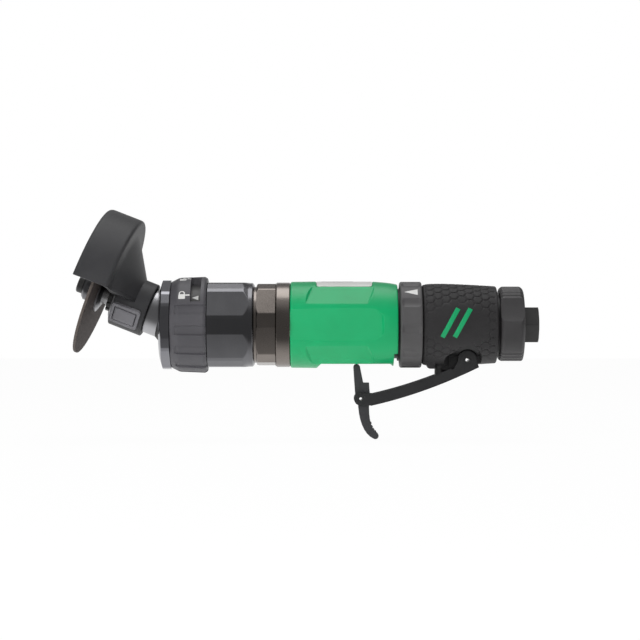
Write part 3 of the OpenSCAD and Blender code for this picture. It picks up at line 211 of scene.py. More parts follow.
def block(name, low, high):
    """Closed box between two corners, used as a cutter."""
    corner = np.array([[(low, high)[i][0], (low, high)[j][1], (low, high)[k][2]]
                       for i in (0, 1) for j in (0, 1) for k in (0, 1)], float)
    faces = [(0, 1, 3, 2), (4, 6, 7, 5), (0, 4, 5, 1), (2, 3, 7, 6), (0, 2, 6, 4), (1, 5, 7, 3)]
    return add_piece(name, corner, faces)


def settle(piece, body, slot, material, *replaced):
    """Ride on a body, take a finish, and stand for the named CAD nodes. The slot is not used."""
    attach(piece, body)
    if replaced:
        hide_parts(*replaced)
    piece.data.materials.clear()
    piece.data.materials.append(material)
    print(piece.name, "faces:", len(piece.data.polygons))
    return piece


# %% [markdown]
# ## Finishes
# Each finish starts from what the real material is and how its surface was made. Object coordinates are in
# metres, so a noise scale of 1000 divided by a size in millimetres gives features of that size. One small
# function adds a node; a colour is an sRGB hex value turned to linear.

# %% Colour and nodes
def tint(code):
    """sRGB hex value to linear colour."""
    c = np.array([int(code[i : i + 2], 16) for i in (1, 3, 5)]) / 255
    linear = np.where(c <= 0.04045, c / 12.92, ((c + 0.055) / 1.055) ** 2.4)
    return (*linear.tolist(), 1.0)


def node(tree, kind, settings=None, values=None, links=None):
    """One shader node with its settings, socket values and links from (node, output) pairs."""
    made = tree.nodes.new(kind)
    for key, value in (settings or {}).items():
        setattr(made, key, value)
    for key, value in (values or {}).items():
        made.inputs[key].default_value = value
    for key, (source, output) in (links or {}).items():
        tree.links.new(source.outputs[output], made.inputs[key])
    return made


def finish(name, colour, second, rough, grain_mm, depth_mm, cloud_mm=14.0, metallic=0.0, ior=1.5,
           stretch=(1, 1, 1), soft_mm=0.0, cloud_share=0.6):
    """A surface with a slow change of colour, a fine grain in relief and a roughness that follows it.

    stretch squeezes the grain along X, Y and Z, as brushing or turning does. soft_mm rounds CAD edges in
    the shading. rough is the lowest and highest roughness.
    """
    material = bpy.data.materials.new(name)
    material.use_nodes = True
    tree = material.node_tree
    tree.nodes.clear()
    place = node(tree, "ShaderNodeTexCoord")
    grain_place = node(tree, "ShaderNodeMapping", None, {"Scale": stretch}, {"Vector": (place, "Object")})
    cloud = node(tree, "ShaderNodeTexNoise", None, {"Scale": 1000 / cloud_mm, "Detail": 3.0},
                 {"Vector": (place, "Object")})
    grain = node(tree, "ShaderNodeTexNoise", None, {"Scale": 1000 / grain_mm, "Detail": 4.0, "Roughness": 0.6},
                 {"Vector": (grain_place, "Vector")})
    share = node(tree, "ShaderNodeMapRange", None,
                 {"From Min": 0.35, "From Max": 0.7, "To Min": 0.0, "To Max": cloud_share}, {"Value": (cloud, "Fac")})
    paint = node(tree, "ShaderNodeMix", {"data_type": "RGBA"}, {6: tint(colour), 7: tint(second)},
                 {0: (share, "Result")})
    dull = node(tree, "ShaderNodeMapRange", None,
                {"From Min": 0.3, "From Max": 0.7, "To Min": rough[0], "To Max": rough[1]}, {"Value": (grain, "Fac")})
    relief = node(tree, "ShaderNodeBump", None, {"Strength": 1.0, "Distance": depth_mm * MM},
                  {"Height": (grain, "Fac")})
    if soft_mm:
        soft = node(tree, "ShaderNodeBevel", {"samples": 6}, {"Radius": soft_mm * MM})
        tree.links.new(soft.outputs["Normal"], relief.inputs["Normal"])
    shader = node(tree, "ShaderNodeBsdfPrincipled", None, {"Metallic": metallic, "IOR": ior},
                  {"Base Color": (paint, 2), "Roughness": (dull, "Result"), "Normal": (relief, "Normal")})
    node(tree, "ShaderNodeOutputMaterial", None, None, {"Surface": (shader, "BSDF")})
    return material


# %% [markdown]
# Glass filled nylon comes out of a mould whose steel was spark eroded, so it carries a fine grain and looks
# satin. Several colours of it are used here. The lever and the catch are dull black too, but each for its own
# reason: sheet steel with a powder coat, and a moulding.

# %% Moulded and coated finishes
# Green nylon: saturated colour under a thin satin sheen, with the grain just visible where light grazes it
green_nylon = finish("green_moulded_nylon", "#009A5D", "#00A465", (0.30, 0.42), 0.45, 0.010)
# Black nylon of the guard: the sheen on its grain lifts the black to a soft dark grey
black_nylon = finish("black_moulded_nylon", "#303032", "#38383A", (0.48, 0.62), 0.5, 0.014, soft_mm=0.35)
# Grey nylon of the lock ring: flat and even, with edges that have worn a little smoother
grey_nylon = finish("grey_moulded_nylon", "#47464A", "#504F53", (0.42, 0.55), 0.5, 0.014)
# Pale grey nylon of the latch: the same moulding with more white in it, so the button is easy to find
latch_nylon = finish("pale_grey_nylon", "#68676B", "#727175", (0.42, 0.56), 0.5, 0.014, soft_mm=0.25)
# Slate nylon: one shade lighter on the regulator than on the exhaust ring, which has taken up oil
slate_nylon = finish("slate_moulded_nylon", "#484748", "#504F50", (0.42, 0.56), 0.5, 0.016)
oiled_nylon = finish("oiled_slate_nylon", "#343334", "#3D3C3D", (0.36, 0.50), 0.5, 0.016)
# Rubber: nearly black and dull; its coarse skin scatters light, so it shows no clear highlight
grip_rubber = finish("moulded_grip_rubber", "#272627", "#2E2D2E", (0.58, 0.74), 0.6, 0.030)
# Green rubber of the inlay: the housing's colour without its sheen
inlay_rubber = finish("green_inlay_rubber", "#00925A", "#009C61", (0.45, 0.58), 0.6, 0.015)
# Powder coat on sheet steel: thick and slightly pebbled, rounding every stamped edge
lever_coat = finish("powder_coated_steel", "#242425", "#2A2A2B", (0.38, 0.52), 0.7, 0.018, soft_mm=0.4)
# O rings: soft, slightly greasy black
seal_rubber = finish("nitrile_seal_rubber", "#141414", "#1A1A1A", (0.45, 0.60), 0.6, 0.010)

# %% [markdown]
# Metals show their surroundings more than a colour of their own. What tells them apart is how bright the
# plating is and how the last tool left the surface: turned rings on the nut, a ground face, a cast skin.

# %% Metal finishes
# Black nickel over turned aluminium: dark mirror-like flats that go light where they face the white sweep
black_nickel = finish("black_nickel_on_aluminium", "#6F6F72", "#7A7A7D", (0.16, 0.26), 0.5, 0.003, metallic=1.0,
                      stretch=(7, 1, 1), soft_mm=0.25)
# Nickel on turned steel: the same mirror, one step lighter and warmer, with tool marks round the axis
nickel_steel = finish("nickel_on_turned_steel", "#827B76", "#8E8782", (0.18, 0.30), 0.6, 0.004, metallic=1.0,
                      stretch=(9, 1, 1))
# Black nickel on the head's base: polished finer than the coupling, so its flats are lighter and sharper
head_nickel = finish("polished_black_nickel", "#85858A", "#8F8F93", (0.12, 0.20), 0.5, 0.002, metallic=1.0,
                     soft_mm=0.25)
# Painted casting of the head: dull black over a sand cast skin
cast_black = finish("painted_casting", "#1E1E1F", "#262627", (0.60, 0.74), 0.9, 0.030)
# Black oxide: a thin oiled layer on steel, darker than nickel and less sharp
black_oxide = finish("black_oxide_steel", "#282828", "#313030", (0.30, 0.44), 0.5, 0.008, soft_mm=0.3)
# Fine blasted steel of the neck: a pale metal whose pits blur every reflection a little
blasted_steel = finish("bead_blasted_steel", "#B0B0B3", "#BBBBBE", (0.28, 0.38), 0.25, 0.006, metallic=1.0)
# Ground steel of shafts, balls and screws: the brightest metal here, with short scratches
bright_steel = finish("ground_steel", "#B4B4B6", "#C2C2C4", (0.24, 0.36), 0.8, 0.006, metallic=1.0, soft_mm=0.2)
# Zinc plated flange: pale, and clouded by handling
zinc_steel = finish("zinc_plated_steel", "#9C9DA0", "#B3B4B6", (0.34, 0.50), 0.7, 0.008, metallic=1.0, cloud_mm=5.0)
# Cast iron of the motor cylinder: grey and porous
cast_metal = finish("cast_iron", "#5B5A5A", "#666565", (0.45, 0.60), 0.9, 0.030, metallic=1.0)
# Machined aluminium of the end plates: pale, with a soft grain
plain_alloy = finish("machined_aluminium", "#A6A7A9", "#B2B3B5", (0.28, 0.40), 0.7, 0.008, metallic=1.0)
# Dark anodised alloy of the handle: matt, almost black
dark_alloy = finish("dark_anodised_alloy", "#171718", "#1E1E1F", (0.40, 0.52), 0.6, 0.010, soft_mm=0.3)
# Turned brass of the valve: warm yellow
yellow_brass = finish("turned_brass", "#B08D4A", "#BE9C5A", (0.24, 0.36), 0.7, 0.006, metallic=1.0)

# %% [markdown]
# The rest are fibres, grit and print. The wheel is the coarsest surface of all: grains of several sizes in
# brown resin, so both its colour and its relief break up at the size of a grain.

# %% Grit, fibre and print
# Cloth filled resin of the vanes: brown, with the weave as a fine relief
vane_resin = finish("cloth_filled_resin", "#4A3220", "#5C4028", (0.50, 0.65), 0.5, 0.020)
# Pressed felt of the silencer: no sheen at all
oily_felt = finish("pressed_felt", "#5A554A", "#6B665A", (0.85, 0.95), 0.35, 0.060)
# Grit in resin, and the paler broken grains of the worn rim
resin_grit = finish("resin_bonded_grit", "#2A2321", "#453A36", (0.70, 0.88), 0.35, 0.080, cloud_mm=1.1,
                    cloud_share=1.0)
grit_edge = finish("worn_grit_edge", "#4A433F", "#5F5853", (0.75, 0.90), 0.30, 0.080, cloud_mm=0.8)
# Vinyl film of the label: off white with a clear top layer
label_vinyl = finish("vinyl_label_film", "#D3D3D0", "#DBDBD9", (0.28, 0.38), 0.6, 0.004)
# Screen printed marks, pale on the rings and dark on the label: thin paint that follows the grain below it
mark_paint = finish("screen_printed_white", "#CFCFCD", "#DADAD8", (0.42, 0.54), 0.5, 0.006)
dark_paint = finish("screen_printed_dark", "#1B1C1C", "#212222", (0.45, 0.55), 0.5, 0.006)

# %% [markdown]
# Pieces that stay hidden inside, and the small turned parts that show, keep their CAD shape. Each takes the
# finish of its record slot, or a finish of its own where one is listed.

# %% Dress the CAD nodes by slot
SLOT_FINISH = {
    "green_housing": green_nylon, "black_plastic": black_nylon, "dark_plastic": slate_nylon,
    "grey_plastic": grey_nylon, "label_white": label_vinyl, "vane_resin": vane_resin, "abrasive": resin_grit,
    "rubber": seal_rubber, "felt": oily_felt, "black_metal": black_oxide, "nickel_steel": nickel_steel,
    "steel": bright_steel, "alloy": plain_alloy, "cast_cylinder": cast_metal, "brass": yellow_brass,
}
OWN_FINISH = {
    "handle_body": dark_alloy, "throttle_lever": lever_coat, "safety_catch": black_nylon, "lever_pin": black_oxide,
    "safety_pin": black_oxide, "valve_bushing": black_oxide, "throttle_plunger": black_oxide,
    "bearing_retainer": black_oxide, "inner_flange": zinc_steel, "outer_flange": black_nickel,
    "wheel_screw": black_oxide,
}
for part in frame["record"]["subparts"]:
    mesh = nodes[part["node"]].data
    mesh.materials.clear()
    mesh.materials.append(OWN_FINISH.get(part["node"], SLOT_FINISH[part["material_slot"]]))

# %% [markdown]
# ## Green motor housing
# The housing is a moulded tube with a long flat panel on each side, slanted facets above and below it, a
# recess under it for the safety catch and a shallow seat for the label. On a grid of length and angle each
# flat is a limit on the radius, and the smallest limit wins with a small fillet. A flat stops where its limit
# ramps up, which draws the bevelled ends.

# %% Housing shell
HOUSING_F, HOUSING_R, HOUSING_RADIUS = -142.0, -80.8, 24.9
WAIST_F, WAIST_R = -127.0, -95.4
PANEL_AT, PANEL_END, PANEL_CORNER = 23.1, -90.0, 5.2
FACET_AT, FACET_TURN, FACET_F, FACET_R, FACET_LEAN = 23.75, np.radians(46), -131.2, -96.2, 0.2875
RECESS_F, RECESS_Z, HOOK_X, POCKET_HALF = -124.5, 22.3, -84.8, 5.9
LABEL_TOP, LABEL_HALF_TURN, LABEL_SEAT = np.pi / 2, np.radians(28), 24.3
PIVOT_X, PIVOT_Z = -40.9, -20.1
CATCH_X, CATCH_Z, CATCH_TOP_X, CATCH_TOP_Z = -60.9, -22.3, -2.2, 17.9
FOLD, PRESS = np.radians(78.0), np.radians(8.0)


def ramp(distance, slope):
    """Zero inside a region and rising at a slope outside it."""
    return np.maximum(distance, 0) * slope


def flat_at(distance, angle, centre):
    """Radius of a flat at a distance from the axis, facing centre, as a function of the angle."""
    c = np.cos(angle - centre)
    return np.where(c > 0.05, distance / np.maximum(c, 0.05), 1e3)


def catch_path(share):
    """Centre of the catch's round top (X, Z) when the lever has closed by a share of its travel.

    The top turns about the catch's pin by the fold, and the pin turns about the lever's pivot by the press.
    """
    fold, press = FOLD * share, PRESS * share
    x = CATCH_X + CATCH_TOP_X * np.cos(fold) + CATCH_TOP_Z * np.sin(fold)
    z = CATCH_Z + CATCH_TOP_Z * np.cos(fold) - CATCH_TOP_X * np.sin(fold)
    return PIVOT_X + x * np.cos(press) + z * np.sin(press), PIVOT_Z + z * np.cos(press) - x * np.sin(press)


def housing_limit(x, angle):
    """Smallest of the flats: side panels, slanted facets, bottom recess, catch pocket and label seat."""
    side = np.where(np.cos(angle) > 0, 0.0, np.pi)
    height = PANEL_AT * np.abs(np.tan(angle - side))
    panel_end = PANEL_END - np.maximum(height - PANEL_CORNER, 0)
    r = flat_at(PANEL_AT, angle, side) + ramp(x - panel_end, 1.2)
    for centre, away in ((FACET_TURN, 1), (-FACET_TURN, -1), (np.pi - FACET_TURN, -1), (FACET_TURN - np.pi, 1)):
        offset = FACET_AT * np.tan(np.clip(np.angle(np.exp(1j * (angle - centre))), -1.2, 1.2)) * away
        ends = ramp(FACET_F + FACET_LEAN * offset - x, 1.0) + ramp(x - FACET_R - FACET_LEAN * offset, 1.0)
        r = soft_min(r, flat_at(FACET_AT, angle, centre) + ends, 0.12)
    recess = flat_at(RECESS_Z, angle, -np.pi / 2) + ramp(RECESS_F - x, 1.0) + ramp(x - HOOK_X, 1.0)
    r = soft_min(r, recess, 0.15)
    path_x, path_z = catch_path(np.linspace(0, 0.75, 40))
    order = np.argsort(path_x)
    floor = -np.interp(x, path_x[order], path_z[order]) - 2.5
    sideways = RECESS_Z * np.abs(np.cos(angle))
    pocket = flat_at(1.0, angle, -np.pi / 2) * floor + ramp(sideways - POCKET_HALF, 3.0)
    pocket = pocket + ramp(path_x.min() - 2.0 - x, 2.0) + ramp(x - path_x.max() - 4.0, 1.0)
    r = soft_min(r, pocket, 0.25)
    off = np.abs(np.angle(np.exp(1j * (angle - LABEL_TOP)))) - LABEL_HALF_TURN
    seat = LABEL_SEAT + ramp(off * HOUSING_RADIUS, 2.5)
    seat = seat + ramp(WAIST_F - 0.3 - x, 2.5) + ramp(x - WAIST_R - 0.3, 2.5)
    return soft_min(r, seat, 0.15)


housing_loop = rounded_loop(
    [(HOUSING_F, 19.4), (HOUSING_F, 24.7), (WAIST_F, 24.9), (WAIST_R, 24.9), (-85.8, 24.1), (HOUSING_R, 23.2),
     (HOUSING_R, 19.4)], [0.2, 1.1, 3, 3, 2, 0.8, 0.2])
housing_section = fine_skin(housing_loop, 20.0, 0.42)
housing = carry("housing_shell", housing_section, on_tool, 520, housing_limit, 0.12, crease=50)
cut_away(housing, block("notch_cutter", (HOUSING_R - 2.2, -40, -60), (HOUSING_R + 4, 40, -16.5)))
settle(housing, "body", "green_housing", green_nylon, "motor_housing")

# %% [markdown]
# The label is a thin vinyl plate in its seat, with rounded corners and a few plain bars. A flat mesh laid on a
# tube would cut into it, so a printed patch is spread over nine points from edge to edge, and each of them is
# wrapped on the skin. The same function makes the marks on the rings further on.

# %% Label
PRINT_POINTS = 9


def printed(name, left, right, x0, angle0, radius, lift, thick):
    """Patch between two edges, each a row of (along, around) points in millimetres, on a round skin radius(x).

    Each row runs over nine points from left to right on the top and back again below, which closes the patch.
    """
    t = np.linspace(0, 1, PRINT_POINTS)[None, :, None]
    flat = np.asarray(left, float)[:, None] * (1 - t) + np.asarray(right, float)[:, None] * t
    flat = np.concatenate([flat, flat[:, ::-1]], 1)
    x = x0 + flat[..., 0]
    skin = np.broadcast_to(radius(x), x.shape)
    height = lift + np.repeat([thick, 0.0], PRINT_POINTS)[None, :]
    return add_piece(name, on_tool(x, skin + height, angle0 + flat[..., 1] / skin), tube_faces(*x.shape))


def round_patch(half_along, half_around, corner, rows):
    """Left and right edges of a rectangle whose half length shrinks on a circle near its ends."""
    around = np.linspace(-half_around, half_around, rows)
    near = np.clip(np.abs(around) - half_around + corner, 0, corner)
    half = half_along - corner + np.sqrt(corner**2 - near**2)
    return np.stack([-half, around], -1), np.stack([half, around], -1)


LABEL_X, LABEL_UNDER, LABEL_THICK = (WAIST_F + WAIST_R) / 2, 24.33, 0.5
LABEL_SKIN = LABEL_UNDER + LABEL_THICK
label = printed("label_plate", *round_patch(15.8, 11.5, 1.6, 60), LABEL_X, LABEL_TOP, lambda x: LABEL_UNDER, 0.0,
                LABEL_THICK)
settle(label, "body", "label_white", label_vinyl, "data_label")
for k, (shift, around, half) in enumerate(((-4.0, -3.0, 9.0), (-6.0, 1.4, 7.0), (-4.0, 5.8, 9.0))):
    bar = printed(f"label_bar_{k}", *round_patch(half, 0.8, 0.3, 9), LABEL_X + shift,
                  LABEL_TOP + around / LABEL_SKIN, lambda x: LABEL_SKIN, -0.04, 0.06)
    settle(bar, "body", "black_plastic", dark_paint)

# %% [markdown]
# ## Clamp nut
# The nut has a round collar and a hexagon whose corners were turned off. A hexagon is the least of six flats at
# every angle, so it needs no modelling of faces: it limits the radius of a turned section, and the section's own
# chamfers stay round where the hexagon doesn't reach them.

# %% Clamp nut
def hexagon(angle, half, first, blend):
    """Radius of a hexagon: six flats in turn, joined by small fillets."""
    r = flat_at(half, angle, first)
    for k in range(1, 6):
        r = soft_min(r, flat_at(half, angle, first + k * np.pi / 3), blend)
    return r


nut_section = finer(rounded_loop(
    [(-162.9, 12), (-162.9, 21.9), (-161.3, 21.9), (-161.3, 23.3), (-160.1, 24.4), (-150.6, 24.4), (-150.4, 23.5),
     (-149.8, 24.3), (-142.6, 24.3), (-142.05, 23.8), (-142.05, 12)],
    [0.1, 0.2, 0.1, 0.25, 0.4, 0.1, 0.1, 0.3, 0.3, 0.2, 0.1]), 0.5)


def nut_limit(x, angle):
    """Two hexagons, one turned, so that narrow facets stand at the corners; the collar stays round."""
    turn = np.radians(6.7)
    six = soft_min(hexagon(angle, 22.6, turn + np.pi / 6, 0.1), hexagon(angle, 23.9, turn, 0.1), 0.15)
    return np.where((x < -150.5) & (x > -161.4), six, 60.0)


nut = carry("clamp_nut_shell", nut_section, on_tool, 360, nut_limit, 0.15, crease=30)
settle(nut, "body", "nickel_steel", nickel_steel, "clamp_nut")

# %% [markdown]
# ## Swivel coupling
# The coupling's hexagon has wide flats, narrow facets at its corners and a chamfer between the two. It ends in
# a cone, so each flat runs out in a curve. Its spigot, on which the lock ring turns, is a piece of its own: it is
# left black, and shows only through the ring's window.

# %% Swivel coupling
FLAT_AT, CORNER_AT, CHAMFER_AT = 24.15, 25.4, 25.35
coupling_section = fine_skin(rounded_loop(
    [(-189.2, 19.4), (-189.2, 26.35), (-170.7, 26.35), (-165.7, 24.1), (-163.7, 24.1), (-162.7, 22.95),
     (-162.7, 19.4)], [0.1, 0.6, 0.8, 0.5, 0.3, 0.3, 0.1]), 20.0, 0.5)


def chamfered_hexagon(angle, turn):
    """Four hexagons, each turned on by a step: the wide flats, the corner facets and two sets of chamfers."""
    six = soft_min(hexagon(angle, FLAT_AT, turn, 0.1), hexagon(angle, CORNER_AT, turn + np.pi / 6, 0.1), 0.1)
    for half_way in (np.pi / 12, -np.pi / 12):
        six = soft_min(six, hexagon(angle, CHAMFER_AT, turn + half_way, 0.1), 0.06)
    return six


coupling = carry("coupling_shell", coupling_section, on_tool, 720,
                 lambda x, angle: chamfered_hexagon(angle, np.pi / 6) + 0 * x, 0.12, crease=30)
settle(coupling, "body", "black_metal", black_nickel, "coupling_housing")
spigot_section = finer(rounded_loop(
    [(-210.1, 19.05), (-210.1, 22.65), (-188.7, 22.65), (-188.7, 19.05)], [0.2, 0.4, 0.1, 0.1]), 1.5)
spigot = carry("coupling_spigot", spigot_section, on_tool, 240)
settle(spigot, "body", "black_metal", black_oxide, "coupling_housing")

# %% [markdown]
# ## Lock ring
# The grey ring has a flared front, recesses between its grip bars all the way round below the marks, and a
# window that shows a pointer on the coupling. The recesses are limits on the radius again. The window goes
# right through the wall, so it is cut out as a solid.

# %% Ring shell and window
LOCK_F, LOCK_R = -210.1, -189.5
BAR_FIRST, BAR_PITCH, RECESS_HALF = np.radians([19.0, 25.7, 5.3])
BAR_RADIUS, BAR_DEPTH, LAST_RECESS = 27.3, 0.9, 10
lock_loop = rounded_loop(
    [(LOCK_F, 22.7), (LOCK_F, 24.7), (-205.6, 27.0), (-190.9, 27.6), (LOCK_R, 26.6), (LOCK_R, 22.7)],
    [0.1, 0.4, 1.2, 0.7, 0.3, 0.1])
lock_section = fine_skin(lock_loop, 23.0, 0.4)


def lock_limit(x, angle):
    """Recesses 10.6 degrees wide at a pitch of 25.7 degrees, with sloping ends; none by the marks."""
    skin = np.interp(x, [LOCK_F, -205.6, -190.9, LOCK_R], [24.7, 27.0, 27.6, 26.6])
    step = (BAR_FIRST + BAR_PITCH / 2 - angle) % (2 * np.pi) / BAR_PITCH - 0.5
    near = (np.abs(step - np.round(step)) * BAR_PITCH - RECESS_HALF) * BAR_RADIUS
    far = np.where(np.round(step) <= LAST_RECESS, 0.0, 5.0)
    floor = skin - BAR_DEPTH + ramp(near, 4.0) + far
    return floor + ramp(-206.6 - x, 0.8)


def part_turn_faces(rows, cols):
    """Quads of a section that is carried through part of a turn, and the section itself at both ends."""
    first = [r * cols for r in range(rows)]
    return grid_faces(rows, cols, True, False).tolist() + [first, [i + cols - 1 for i in first]]


lock = carry("lock_ring_shell", lock_section, on_tool, 840, lock_limit, 0.1, crease=45)
window_angle = np.linspace(np.radians(29), np.radians(92), 40)[None, :]
window_loop = np.array([(-198.5, 21.0), (-198.5, 30.0), (-192.7, 30.0), (-192.7, 21.0)])
window_points = on_tool(window_loop[:, :1], window_loop[:, 1:], window_angle)
cut_away(lock, add_piece("window_cutter", window_points, part_turn_faces(4, 40)))
settle(lock, "lock", "grey_plastic", grey_nylon, "lock_ring")

# %% [markdown]
# The marks are printed: a closed padlock with a line to the window, an open padlock further round, and a
# pointer on the coupling inside the window. A padlock is a rounded body and half a ring.

# %% Printed marks
def shackle(radius, width, rise, turn, shift):
    """Inner and outer edge of half a ring on two legs of a height rise, turned by an angle and moved."""
    t = np.linspace(0, np.pi, 16)
    arc = np.stack([np.cos(t), np.sin(t)], -1)
    spin = np.array([[np.cos(turn), np.sin(turn)], [-np.sin(turn), np.cos(turn)]])
    return [np.vstack([[(r, 0)], arc * r + [0, rise], [(-r, 0)]]) @ spin + shift for r in (radius, radius + width)]


def triangle(length, half):
    """Lower and upper edge of a pointer whose tip is at the front."""
    along = np.linspace(-0.58, 0.42, 12)
    return [np.stack([along * length, sign * half * (along + 0.58)], -1) for sign in (-1, 1)]


def lock_skin(x):
    """Radius of the ring's skin under the marks."""
    return np.interp(x, [-210.1, -206.0, -205.0, -190.9], [24.7, 26.72, 27.0, 27.6])


def lock_mark(name, edges, x0, degrees):
    """White patch on the lock ring at a place along it and an angle."""
    mark = printed(name, *edges, x0, np.radians(degrees), lock_skin, -0.05, 0.12)
    return settle(mark, "lock", "label_white", mark_paint)


for state, degrees, ring in (("closed", 36.2, (1.1, 0.6, 0.8, 0.0, (0.0, 1.5))),
                             ("open", 72.0, (1.1, 0.6, 1.1, -0.5, (1.3, 1.5)))):
    lock_mark(f"{state}_padlock", round_patch(1.9, 1.65, 0.4, 15), -203.2, degrees)
    lock_mark(f"{state}_shackle", shackle(*ring), -203.2, degrees)
    lock_mark(f"{state}_line", round_patch(1.25, 0.45, 0.15, 7), -200.0, degrees + 2.0)
lock_pointer = printed("lock_pointer", *triangle(3.6, 1.7), -195.6, np.radians(42.5), lambda x: 22.65, -0.05, 0.09)
settle(lock_pointer, "body", "label_white", mark_paint)

# %% [markdown]
# ## Regulator ring and exhaust ring
# Both are moulded rings to turn by hand. A flute is the arc of a large circle cut into the rim. It could be cut
# with ten cylinders, but seen from the axis its radius at an angle is simply where a ray meets that circle.

# %% Flutes and regulator ring
def flute(angle, rim, depth, cutter, centres):
    """Radius left by round cutters: d cos a - sqrt(c^2 - d^2 sin^2 a), with d the cutter's distance."""
    d = rim - depth + cutter
    r = np.full(np.shape(angle), 60.0)
    for centre in centres:
        a = np.angle(np.exp(1j * (angle - centre)))
        inside = (cutter**2 - (d * np.sin(a)) ** 2 > 0) & (np.cos(a) > 0)
        root = np.sqrt(np.maximum(cutter**2 - (d * np.sin(a)) ** 2, 0))
        r = np.minimum(r, np.where(inside, d * np.cos(a) - root, 60.0))
    return r


REGULATOR_F, REGULATOR_R, RIM = -79.6, -67.0, 24.7
regulator_section = finer(rounded_loop(
    [(REGULATOR_F, 20.75), (REGULATOR_F, RIM), (REGULATOR_R, RIM), (REGULATOR_R, 20.75)],
    [0.1, 1.3, 1.3, 0.1], 7), 0.5)
flutes = np.radians(67 + 36 * np.arange(10))
regulator = carry("regulator_ring_shell", regulator_section, on_tool, 720,
                  lambda x, angle: (flute(angle, RIM, 0.9, 6.0, flutes) + ramp(REGULATOR_F + 2.0 - x, 0.6)
                                    + ramp(x - REGULATOR_R + 2.0, 0.6)), 0.1, crease=45)
settle(regulator, "regulator", "dark_plastic", slate_nylon, "regulator_ring")
ring_pointer = printed("regulator_pointer", *triangle(7.6, 2.5), -72.9, np.radians(49), lambda x: RIM, -0.04, 0.1)
settle(ring_pointer, "regulator", "label_white", mark_paint)

# %% [markdown]
# The exhaust ring has three shallow lobes, fine ribs above and below for the fingers, and six slots in its end
# face that let the air out. Ribs and slots are too small to cut one by one: a cosine moves the radius, and the
# end face is pushed in where the distance to a slot's border is negative.

# %% Exhaust ring
EXHAUST_F, EXHAUST_R, EXHAUST_RIM, SLOT_RADIUS, EXHAUST_COLUMNS = -22.5, -8.9, 22.0, 13.2, 720
exhaust_section = fine_skin(rounded_loop(
    [(EXHAUST_F, 17.05), (EXHAUST_F, 20.6), (EXHAUST_F + 1.6, EXHAUST_RIM), (EXHAUST_R - 1.6, EXHAUST_RIM),
     (EXHAUST_R, 20.4), (EXHAUST_R, 9.05), (EXHAUST_R - 2.2, 9.05), (EXHAUST_R - 2.2, 17.05)],
    [0.1, 0.5, 0.8, 0.8, 0.5, 0.2, 0.1, 0.1]), 18.0, 0.4)
lobes = np.radians(26 + 120 * np.arange(3))
exhaust_angle = full_turn(EXHAUST_COLUMNS)[None, :]
exhaust_r = soft_min(np.repeat(exhaust_section[:, 1:], EXHAUST_COLUMNS, 1),
                     flute(exhaust_angle, EXHAUST_RIM, 2.2, 44.0, lobes), 0.2)
ribbed = np.clip((np.abs(np.sin(exhaust_angle)) - 0.67) / 0.03, 0, 1) * (exhaust_section[:, 1:] > 21.0)
exhaust_r = exhaust_r - 0.45 * ribbed * (0.5 + 0.5 * np.cos(45 * exhaust_angle))
slot_wave = (np.abs((exhaust_angle % (np.pi / 3)) - np.pi / 6) - np.radians(16)) * SLOT_RADIUS
slot_across = np.abs(exhaust_section[:, 1:] - SLOT_RADIUS) - 2.5
slot_depth = 1.9 * np.clip(-np.maximum(slot_wave, slot_across) / 0.5, 0, 1)
on_end = np.abs(exhaust_section[:, :1] - EXHAUST_R) < 0.05
exhaust_x = exhaust_section[:, :1] - np.where(on_end, slot_depth, 0.0)
exhaust = add_piece("exhaust_ring_shell", on_tool(exhaust_x, exhaust_r, exhaust_angle),
                    grid_faces(len(exhaust_section), EXHAUST_COLUMNS), 45)
settle(exhaust, "exhaust", "dark_plastic", oiled_nylon, "exhaust_ring")

# %% [markdown]
# ## Inlet
# A hexagon bar that was bored and turned: the section has the thread's bore, the round neck that goes into the
# handle and a chamfered mouth, and one hexagon limits its outside.

# %% Inlet hexagon
inlet_section = finer(rounded_loop(
    [(-30.1, 4.6), (-30.1, 9.0), (-8.6, 9.0), (-8.6, 11.0), (-7.8, 11.9), (-1.0, 11.9), (0.0, 10.6), (0.0, 6.6),
     (-1.0, 5.6), (-12.0, 5.6), (-12.0, 4.6)], [0.1, 0.1, 0.1, 0.2, 0.3, 0.3, 0.3, 0.15, 0.2, 0.1, 0.1]), 0.4)
inlet = carry("inlet_hexagon", inlet_section, on_tool, 300,
              lambda x, angle: hexagon(angle, 10.0, np.pi / 6, 0.15) + 0 * x, 0.2, crease=30)
settle(inlet, "body", "black_metal", black_oxide, "inlet_bushing")

# %% [markdown]
# ## Rubber grip
# The sleeve swells a little towards its front, where the hand closes round it. Raised hexagon pads give hold at
# its ends and top, and fade out to a plain middle. Each pad is a cell of a honeycomb: the distance to the
# nearest cell border is known everywhere, and a groove follows it. Under the sleeve a lip stands in front of
# the plunger, and pockets clear the lever's ears.

# %% Honeycomb and sleeve
GRIP_F, GRIP_R, GRIP_BORE, GRIP_RADIUS, GRIP_CROWN = -66.7, -24.1, 18.53, 22.1, 1.5
EAR_BACK, EAR_NOSE, LUG_HALF = 8.0, 4.5, 5.3
VALVE_X, BOSS_HOLE = -56.3, 7.03
HEX_ROUND, HEX_RADIUS, HEX_DEPTH = 28, 23.0, 0.48
HEX_PITCH = 2 * np.pi * HEX_RADIUS / HEX_ROUND


def honeycomb(u, v, pitch):
    """Distance from the border of the hexagon cell that holds (u, v); cell centres stand a pitch apart."""
    tall = pitch * np.sqrt(3)
    au, av = u - np.round(u / pitch) * pitch, v - np.round(v / tall) * tall
    bu = u - (np.floor(u / pitch) + 0.5) * pitch
    bv = v - (np.floor(v / tall) + 0.5) * tall
    first = np.hypot(au, av) < np.hypot(bu, bv)
    du, dv = np.where(first, au, bu), np.where(first, av, bv)
    slant = np.sqrt(3) / 2
    reach = np.maximum(np.abs(du), np.maximum(np.abs(du / 2 + dv * slant), np.abs(du / 2 - dv * slant)))
    return pitch / 2 - reach


